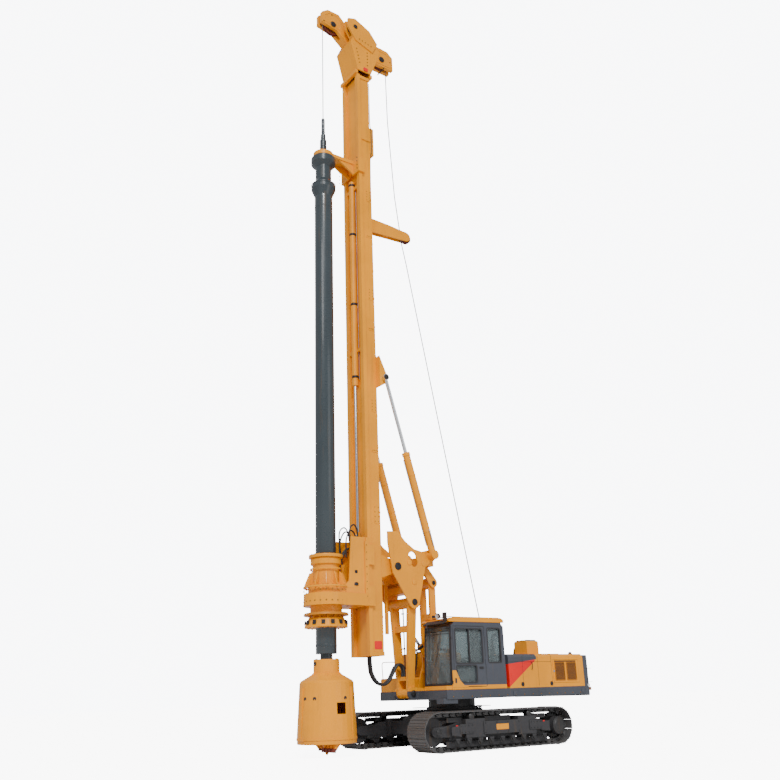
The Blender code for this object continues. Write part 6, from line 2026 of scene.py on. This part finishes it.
# ------------------------------------------------------------------ drive, kelly and tool
def draw_drive(bolt):
    ribs, bolts, dark, hoses, painted_shade_yellow = Kit(), Kit(), Kit(), Kit(), Kit()
    axis = (KELLY, 0)
    up = (0, 0, 1)
    rib = Kit().prism(
        [(0.385, 3.96), (0.545, 3.96), (0.545, 4.00), (0.42, 4.30), (0.385, 4.30)], -0.012, 0.012
    ).mesh("rib")
    ribs.add(run_tree("ring", rib, "yellow", Count=12, Radius=0.0005), Matrix.Translation((*axis, 0)))
    for z, r in ((3.93, 0.566), (3.49, 0.566)):
        ribs.lathe(
            [
                (r - 0.03, z - 0.02),
                (r + 0.006, z - 0.02),
                (r + 0.010, z - 0.012),
                (r + 0.010, z + 0.016),
                (r + 0.002, z + 0.024),
                (r - 0.03, z + 0.024),
            ],
            (*axis, 0),
            up,
            64,
            True,
        )
    ribs.lathe(
        [(0.38, 4.66), (0.43, 4.66), (0.435, 4.67), (0.435, 4.73), (0.43, 4.74), (0.38, 4.74)],
        (*axis, 0),
        up,
        56,
        True,
    )
    ribs.lathe([(0.385, 4.36), (0.402, 4.36), (0.402, 4.40), (0.385, 4.40)], (*axis, 0), up, 56, True)
    bolts_on_ring(bolts, (*axis, 4.741), up, 20, 0.41, bolt * 0.8)
    bolts_on_ring(bolts, (*axis, 3.954), up, 28, 0.535, bolt * 0.8)
    for z in (3.58, 3.84):
        bolt_mesh = run_tree(
            "ring",
            Kit().add(hex_bolt(bolt * 0.7, bolt * 0.6), Matrix.Rotation(pi / 2, 4, "Y")).mesh("side_bolt"),
            "bolt",
            Count=24,
            Radius=0.563,
        )
        bolts.add(bolt_mesh, Matrix.Translation((*axis, z)))
    # A ring under the drive in the darker yellow: painted shade on the underside.
    painted_shade_yellow.lathe(
        [(0.30, 3.238), (0.562, 3.238), (0.562, 3.27), (0.545, 3.30), (0.30, 3.30)],
        (*axis, 0),
        up,
        64,
        True,
    )
    for side in (1, -1):
        x, y = KELLY - 0.62, side * 0.36
        dark.lathe(
            [
                (0.12, 3.96),
                (0.12, 4.02),
                (0.10, 4.05),
                (0.10, 4.26),
                (0.11, 4.28),
                (0.11, 4.34),
                (0.07, 4.38),
            ],
            (x, y, 0),
            up,
            28,
        )
        for k in range(3):
            yy = side * (0.26 + 0.06 * k)
            hoses.tube(
                smooth(
                    [
                        (x, yy, 4.34),
                        (x + 0.02, yy, 4.56),
                        (x - 0.10, yy, 4.86),
                        (x - 0.24, yy * 0.9, 5.02),
                        (x - 0.36, yy * 0.8, 4.98),
                        (x - 0.38, yy * 0.75, 4.80),
                    ],
                    6,
                ),
                0.018,
                10,
            )
        ribs.prism([(2.905, 3.60), (2.99, 3.60), (2.99, 5.10), (2.905, 5.10)], side * 0.46, side * 0.492)
        bolts_in_row(
            bolts, (2.945, side * 0.492, 3.70), (2.945, side * 0.492, 5.00), (0, side, 0), 8, bolt * 0.7
        )
        ribs.prism(
            [
                (2.99, 3.92),
                (3.46, 3.92),
                (3.40, 4.08),
                (3.10, 4.98),
                (3.04, 5.08),
                (2.99, 5.08),
                (2.99, 4.95),
                (3.05, 4.80),
                (3.24, 4.20),
                (3.14, 4.10),
                (2.99, 4.10),
            ],
            side * 0.40,
            side * 0.43,
        )
        ribs.prism(
            [(2.92, 3.45), (3.42, 3.50), (3.42, 3.62), (3.05, 3.72), (2.92, 4.20)],
            side * 0.26,
            side * 0.285,
        )
        hoses.tube(
            smooth(
                [
                    (3.00, side * 0.20, 5.10),
                    (3.05, side * 0.22, 5.42),
                    (3.16, side * 0.24, 5.55),
                    (3.30, side * 0.25, 5.40),
                    (3.28, side * 0.25, 4.95),
                    (3.22, side * 0.24, 4.55),
                ],
                6,
            ),
            0.020,
            10,
        )
        hoses.tube(
            smooth(
                [
                    (2.98, side * 0.12, 5.10),
                    (3.08, side * 0.12, 5.36),
                    (3.22, side * 0.13, 5.40),
                    (3.34, side * 0.15, 5.15),
                    (3.36, side * 0.16, 4.70),
                ],
                6,
            ),
            0.020,
            10,
        )
    ribs.finish("drive_ribs_and_flanges", "yellow", "drive_body", "yellow_paint", 0.003)
    bolts.finish("drive_bolts", "bolt", "drive_body", "dark_paint")
    dark.finish("drive_motors_and_wear_strips", "black", "drive_body", "dark_paint", 0.003)
    hoses.finish("drive_hoses", "rubber", "drive_body", "hose_rubber")
    # Underside ring in the darker yellow: painted shade.
    painted_shade_yellow.finish("drive_underside", "painted_shade_yellow", "drive_body", "yellow_paint", 0.003)
    bell, windows = Kit(), Kit()
    bolts_on_ring(bell, (KELLY, 0, 2.949), (0, 0, -1), 20, 0.47, bolt)
    # Black blocks in the bell's windows: painted shade of the open windows.
    shape = Kit().prism(
        [(0.515, 3.02), (0.545, 3.02), (0.535, 3.12), (0.505, 3.12)], -0.045, 0.045
    ).mesh("window")
    flare = Kit().prism(
        [(0.40, 2.955), (0.545, 2.955), (0.545, 2.985), (0.42, 3.235), (0.40, 3.235)], -0.014, 0.014
    ).mesh("flare")
    bell.add(
        run_tree("ring", flare, "yellow", Count=14, Radius=0.0005),
        Matrix.Translation((KELLY, 0, 0)) @ Matrix.Rotation(pi / 14, 4, "Z"),
    )
    windows.add(
        run_tree("ring", shape, "black", Count=14, Radius=0.0005), Matrix.Translation((KELLY, 0, 0))
    )
    bell.finish("bell_ribs_and_bolts", "yellow", "drive_output", "yellow_paint", 0.002)
    # The black window blocks are painted shade.
    windows.finish("bell_windows", "black", "drive_output", "dark_paint")


def draw_kelly(bolt):
    tube, rings, bolts = Kit(), Kit(), Kit()
    tube.lathe(
        [(0.2565, 2.331), (0.262, 2.34), (0.262, 15.24), (0.2575, 15.30)], (KELLY, 0, 0), (0, 0, 1), 72
    )
    for z in (2.50, 14.9):
        tube.lathe(
            [(0.255, z), (0.2655, z + 0.006), (0.2655, z + 0.05), (0.255, z + 0.056)],
            (KELLY, 0, 0),
            (0, 0, 1),
            72,
            True,
        )
    rings.lathe(
        [(0.355, 15.66), (0.366, 15.665), (0.366, 15.70), (0.355, 15.705)],
        (KELLY, 0, 0),
        (0, 0, 1),
        56,
        True,
    )
    rings.lathe(
        [(0.355, 16.44), (0.366, 16.445), (0.366, 16.60), (0.355, 16.61)],
        (KELLY, 0, 0),
        (0, 0, 1),
        56,
        True,
    )
    bolts_on_ring(bolts, (KELLY, 0, 16.631), (0, 0, 1), 16, 0.325, bolt * 0.8)
    tube.finish("kelly_tube", "slate", "kelly_body", "slate_paint", 0.0)
    rings.finish("kelly_head_rings", "slate", "kelly_body", "slate_paint", 0.002)
    bolts.finish("kelly_head_bolts", "dark_steel", "kelly_body", "dark_paint")
    guide = Kit()
    bolts_on_ring(guide, (KELLY, 0, 16.841), (0, 0, 1), 10, 0.158, bolt * 0.35)
    for side in (1, -1):
        bolts_in_row(
            guide, (2.98, side * 0.4951, 16.38), (2.98, side * 0.4951, 16.76), (0, side, 0), 4, bolt * 0.7
        )
    for z in (16.95, 17.05, 17.34, 17.52, 17.60):
        r = 0.104 if z < 17.3 else (0.080 if z < 17.5 else 0.060)
        guide.lathe(
            [(r - 0.01, z), (r, z + 0.004), (r, z + 0.022), (r - 0.01, z + 0.026)],
            (KELLY, 0, 0),
            (0, 0, 1),
            32,
            True,
        )
    guide.finish("kelly_guide_bolts", "dark_steel", "kelly_carriage", "dark_paint")


def draw_bucket(bolt):
    ribs, bolts, dark, teeth = Kit(), Kit(), Kit(), Kit()
    rib = Kit().prism(
        [(0.30, 1.60), (0.62, 1.60), (0.62, 1.66), (0.34, 1.92), (0.30, 1.92)], -0.014, 0.014
    ).mesh("rib")
    ribs.add(run_tree("ring", rib, "yellow", Count=6, Radius=0.0005), Matrix.Translation((KELLY, 0, 0)))
    foot_band = [(0.687, 0.375), (0.727, 0.383), (0.727, 0.427), (0.687, 0.435)]
    ribs.lathe(foot_band, (KELLY, 0, 0), (0, 0, 1), 64, True)
    wear = Kit().prism(
        [(0.70, 0.42), (0.728, 0.42), (0.700, 1.55), (0.645, 1.55)], -0.035, 0.035
    ).mesh("wear")
    ribs.add(run_tree("ring", wear, "yellow", Count=3, Radius=0.0005), Matrix.Translation((KELLY, 0, 0)))
    bolts_on_ring(bolts, (KELLY, 0, 2.201), (0, 0, 1), 12, 0.27, bolt)
    ribs.box(KELLY - 0.20, KELLY + 0.20, -0.20, 0.20, 2.02, 2.20)
    for angle in (10, 34, 100, 130, 190, 250, 300):
        turn = Vector((cos(radians(angle)), sin(radians(angle)), 0))
        dark.lathe([(0.045, 0), (0.045, 0.006)], Vector((KELLY, 0, 1.30)) + turn * 0.672, turn, 18)
    dark.bar((KELLY - 0.34, 0, 2.10), (KELLY + 0.34, 0, 2.10), 0.045, 18)
    dark.tube(
        smooth(
            [
                (KELLY - 0.72, 0.10, 0.46),
                (KELLY - 0.735, 0.10, 0.8),
                (KELLY - 0.70, 0.10, 1.40),
                (KELLY - 0.60, 0.10, 1.72),
            ],
            5,
        ),
        0.014,
        8,
    )
    for side in (-1, 1):
        for i in range(4):
            y = side * (0.14 + 0.145 * i)
            x = KELLY + side * 0.145
            teeth.prism(
                [
                    (x - side * 0.03, 0.20),
                    (x + side * 0.045, 0.20),
                    (x + side * 0.065, 0.112),
                    (x - side * 0.01, 0.105),
                ],
                y - 0.052,
                y + 0.052,
            )
    ribs.finish("bucket_ribs", "yellow", "kelly_body", "yellow_paint", 0.004)
    bolts.finish("bucket_bolts", "dark_steel", "kelly_body", "dark_paint")
    dark.finish("bucket_pin_and_rod", "dark_steel", "kelly_body", "dark_paint", 0.002)
    teeth.finish("tooth_caps", "sheave", "bucket_floor_body", "track_steel", 0.003)


def draw_ropes(rope):
    radius = rope / 2
    front, rear, guide = (3.57, 21.78), (1.70, 21.25), (0.92, 14.83)
    main = [(KELLY, 0, 6.6), (KELLY, 0, 14.0), (KELLY, 0, 18.1), (KELLY, 0, 20.5)]
    main += [(x, 0, z) for x, z in arc(front, KELLY - front[0], 0, 106, 12)]
    main += [(x, 0, z) for x, z in arc(rear, 0.262, 106, 74, 8)]
    main += [
        (1.44, 0, 21.1),
        (1.42, 0, 19.0),
        (1.25, 0, 16.2),
        (guide[0] + 0.165, 0, guide[1] + 0.05),
        (guide[0] + 0.155, 0, guide[1] - 0.12),
    ]
    head = Kit().tube(main, radius, 8)
    head.finish("kelly_rope_upper", "rope", "mast_body", "dark_paint")
    down = [
        (guide[0] + 0.155, 0, guide[1] - 0.13),
        (0.90, 0, 13.9),
        (-0.10, 0, 8.68),
        (-1.12, 0, 3.46),
        (-1.43, 0, 1.98),
    ]
    path = []
    for a, b in zip(down, down[1:]):
        steps = max(2, int((Vector(b) - Vector(a)).length / 0.25))
        path += [Vector(a).lerp(Vector(b), i / steps) for i in range(steps)]
    lower = Kit().tube(path + [Vector(down[-1])], radius, 8).finish(
        "kelly_rope_lower", "rope", None, "dark_paint"
    )
    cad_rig.blend(
        lower, "triangle_body", "mast_body", start=(AXIS_X - 1.40, 0, 2.2), end=(AXIS_X + 1.07, 0, 14.70)
    )


HOSE_ROUTE = (
    (2.60, 2.2597),
    (2.595, 2.10),
    (2.555, 1.86),
    (2.42, 1.66),
    (2.22, 1.58),
    (2.04, 1.66),
    (1.92, 1.83),
    (1.82, 1.99),
    (1.70, 2.07),
    (1.595, 2.02),
    (1.553, 1.90),
    (1.55, 1.7609),
)


def draw_mast_hoses():
    """Two free hoses that hang in a loop from the mast's foot to the boom's foot."""
    for number, y in ((1, -0.05), (2, 0.05)):
        path = smooth([(x, y, z) for x, z in HOSE_ROUTE], 4)
        length = sum((b - a).length for a, b in zip(path, path[1:]))
        hose = Kit().tube(path, 0.033, 14).finish(
            f"mast_hose_skin_{number}", "rubber", None, "hose_rubber", replaces=(f"mast_hose_{number}",)
        )
        moved = [p + Vector((AXIS_X, 0, 0)) for p in path]
        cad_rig.cord(
            hose,
            exit=moved[0],
            length=round(length, 3),
            diameter=0.066,
            far_end="object",
            stiffness="stiff",
            lay="hanging",
            path=moved,
        )
        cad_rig.blend(hose, "mast_body", "triangle_body", start=moved[0], end=moved[-1])


# ------------------------------------------------------------------ camera, floor and light
def build_camera():
    yaw, pitch, roll = 4.090778, 0.342476, -0.0334738
    ahead = Vector((cos(yaw) * cos(pitch), sin(yaw) * cos(pitch), sin(pitch)))
    right = Vector((sin(yaw), -cos(yaw), 0))
    up = right.cross(ahead)
    turned_right = cos(roll) * right + sin(roll) * up
    turned_up = -sin(roll) * right + cos(roll) * up
    lens = bpy.data.cameras.new("camera")
    lens.lens = 39.453
    lens.clip_end = 400
    camera = bpy.data.objects.new("camera", lens)
    bpy.context.scene.collection.objects.link(camera)
    turn = Matrix((turned_right, turned_up, -ahead)).transposed().to_4x4()
    camera.matrix_world = Matrix.Translation((14.88575, 18.9137, 1.3319)) @ turn
    bpy.context.scene.camera = camera


def make_floor_material():
    made, tree, shader = blank_material("pale_floor")
    place = tree.nodes.new("ShaderNodeTexCoord").outputs["Object"]
    tone = mix_colour(
        tree, map_range(tree, noise(tree, place, 0.12, 3), 0.3, 0.7), (0.82, 0.82, 0.82), (0.86, 0.86, 0.86)
    )
    tree.links.new(tone, shader.inputs["Base Color"])
    shader.inputs["Roughness"].default_value = 0.9
    shader.inputs["Emission Color"].default_value = (1, 1, 1, 1)
    seen = tree.nodes.new("ShaderNodeLightPath").outputs["Is Camera Ray"]
    tree.links.new(map_range(tree, seen, 0, 1, 0.0, 8.0), shader.inputs["Emission Strength"])
    return made


def build_stage():
    kit = bmesh.new()
    bmesh.ops.create_grid(kit, x_segments=2, y_segments=2, size=150)
    mesh = bpy.data.meshes.new("floor")
    kit.to_mesh(mesh)
    kit.free()
    mesh.materials.append(make_floor_material())
    floor = bpy.data.objects.new("floor", mesh)
    bpy.context.scene.collection.objects.link(floor)
    floor.location.z = -0.002
    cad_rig.stage(floor)
    world = bpy.data.worlds.new("studio")
    world.use_nodes = True
    sky = world.node_tree.nodes["Background"]
    sky.inputs["Color"].default_value = (0.96, 0.97, 1.0, 1)
    seen = world.node_tree.nodes.new("ShaderNodeLightPath").outputs["Is Camera Ray"]
    world.node_tree.links.new(map_range(world.node_tree, seen, 0, 1, 0.55, 9.0), sky.inputs["Strength"])
    bpy.context.scene.world = world
    sun = bpy.data.lights.new("sun", "SUN")
    sun.energy = 2.4
    sun.angle = radians(12)
    holder = bpy.data.objects.new("sun", sun)
    holder.rotation_euler = (radians(48), 0, radians(150))
    bpy.context.scene.collection.objects.link(holder)
    for name, place, energy, size in (("key", (22, 16, 22), 1800, 10), ("fill", (-6, 26, 10), 900, 14)):
        lamp = bpy.data.lights.new(name, "AREA")
        lamp.energy = energy
        lamp.size = size
        made = bpy.data.objects.new(name, lamp)
        bpy.context.scene.collection.objects.link(made)
        made.location = place
        made.rotation_euler = (Vector((1.5, 0, 6)) - Vector(place)).to_track_quat("-Z", "Y").to_euler()


# ------------------------------------------------------------------ operators
class RigOperator:
    """What all of the rig's operators share."""

    bl_options = {"REGISTER", "UNDO"}

    def execute(self, context):
        self.build(context.scene.rig_paint, context.scene.rig_sizes)
        return {"FINISHED"}


class RIG_OT_camera(RigOperator, bpy.types.Operator):
    """Add the camera"""

    bl_idname = "rig.camera"
    bl_label = "Camera"

    def build(self, paint, sizes):
        build_camera()


class RIG_OT_paint(RigOperator, bpy.types.Operator):
    """Make the materials and paint the frame's own pieces"""

    bl_idname = "rig.paint"
    bl_label = "Paint"

    def build(self, paint, sizes):
        make_materials(paint)
        paint_nodes()


class RIG_OT_hoses(RigOperator, bpy.types.Operator):
    """Add the hoses that hang from the mast's foot"""

    bl_idname = "rig.hoses"
    bl_label = "Hanging hoses"

    def build(self, paint, sizes):
        draw_mast_hoses()


class RIG_OT_crawlers(RigOperator, bpy.types.Operator):
    """Add the track shoes, rollers, hubs and plates"""

    bl_idname = "rig.crawlers"
    bl_label = "Crawlers"

    def build(self, paint, sizes):
        draw_tracks(sizes.shoes)
        draw_crawler_fittings(sizes.bolt)
        draw_carbody_fittings(sizes.bolt)


class RIG_OT_house(RigOperator, bpy.types.Operator):
    """Add the house's grilles, latches, exhaust, tail fittings, tank fittings and winch rope"""

    bl_idname = "rig.house"
    bl_label = "House"

    def build(self, paint, sizes):
        draw_house(sizes.bolt)
        draw_tail(sizes.bolt)
        draw_tank(sizes.rail)
        draw_winch(sizes.bolt, sizes.rope)


class RIG_OT_cab(RigOperator, bpy.types.Operator):
    """Add the cab's gaskets, lamps, mirror, controls and padded seat"""

    bl_idname = "rig.cab"
    bl_label = "Cab"

    def build(self, paint, sizes):
        draw_cab(sizes.bolt)
        draw_cab_room()


class RIG_OT_boom(RigOperator, bpy.types.Operator):
    """Add the boom's pins, hoses, glands and pipes"""

    bl_idname = "rig.boom"
    bl_label = "Boom"

    def build(self, paint, sizes):
        draw_boom()


class RIG_OT_mast(RigOperator, bpy.types.Operator):
    """Add the mast's plates, the head's fittings, the sheaves and the ropes"""

    bl_idname = "rig.mast"
    bl_label = "Mast"

    def build(self, paint, sizes):
        draw_mast(sizes.bolt)
        draw_head(sizes.bolt)
        draw_sheaves()
        draw_ropes(sizes.rope)


class RIG_OT_tool(RigOperator, bpy.types.Operator):
    """Add the drive's ribs, motors and hoses, the kelly's tube and the bucket's ribs and teeth"""

    bl_idname = "rig.tool"
    bl_label = "Drive, kelly and bucket"

    def build(self, paint, sizes):
        draw_drive(sizes.bolt)
        draw_kelly(sizes.bolt)
        draw_bucket(sizes.bolt)


class RIG_OT_stage(RigOperator, bpy.types.Operator):
    """Add the floor, the world and the lights"""

    bl_idname = "rig.stage"
    bl_label = "Stage"

    def build(self, paint, sizes):
        build_stage()


STEPS = (
    RIG_OT_camera,
    RIG_OT_paint,
    RIG_OT_hoses,
    RIG_OT_crawlers,
    RIG_OT_house,
    RIG_OT_cab,
    RIG_OT_boom,
    RIG_OT_mast,
    RIG_OT_tool,
    RIG_OT_stage,
)


class RIG_PT_looks(bpy.types.Panel):
    """The rig's settings and steps"""

    bl_idname = "RIG_PT_looks"
    bl_label = "Rotary piling rig"
    bl_space_type = "VIEW_3D"
    bl_region_type = "UI"
    bl_category = "Rig"

    def draw(self, context):
        for settings in (context.scene.rig_paint, context.scene.rig_sizes):
            for name in settings.__annotations__:
                self.layout.prop(settings, name)
        for step in STEPS:
            self.layout.operator(step.bl_idname)


CLASSES = (RigPaint, RigSizes) + STEPS + (RIG_PT_looks,)


def register():
    for item in CLASSES:
        bpy.utils.register_class(item)
    bpy.types.Scene.rig_paint = bpy.props.PointerProperty(type=RigPaint)
    bpy.types.Scene.rig_sizes = bpy.props.PointerProperty(type=RigSizes)


def unregister():
    del bpy.types.Scene.rig_sizes
    del bpy.types.Scene.rig_paint
    for item in reversed(CLASSES):
        bpy.utils.unregister_class(item)


def main():
    register()
    bpy.ops.rig.camera()
    bpy.ops.rig.paint()
    bpy.ops.rig.hoses()
    bpy.ops.rig.crawlers()
    bpy.ops.rig.house()
    bpy.ops.rig.cab()
    bpy.ops.rig.boom()
    bpy.ops.rig.mast()
    bpy.ops.rig.tool()
    bpy.ops.rig.stage()
    looks_box = [list(corner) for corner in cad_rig.bounds()]
    with open("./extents.json", "w") as sizes:
        json.dump({"frame": CAD_BOX, "scene": looks_box}, sizes)


if __name__ == "__main__":
    main()
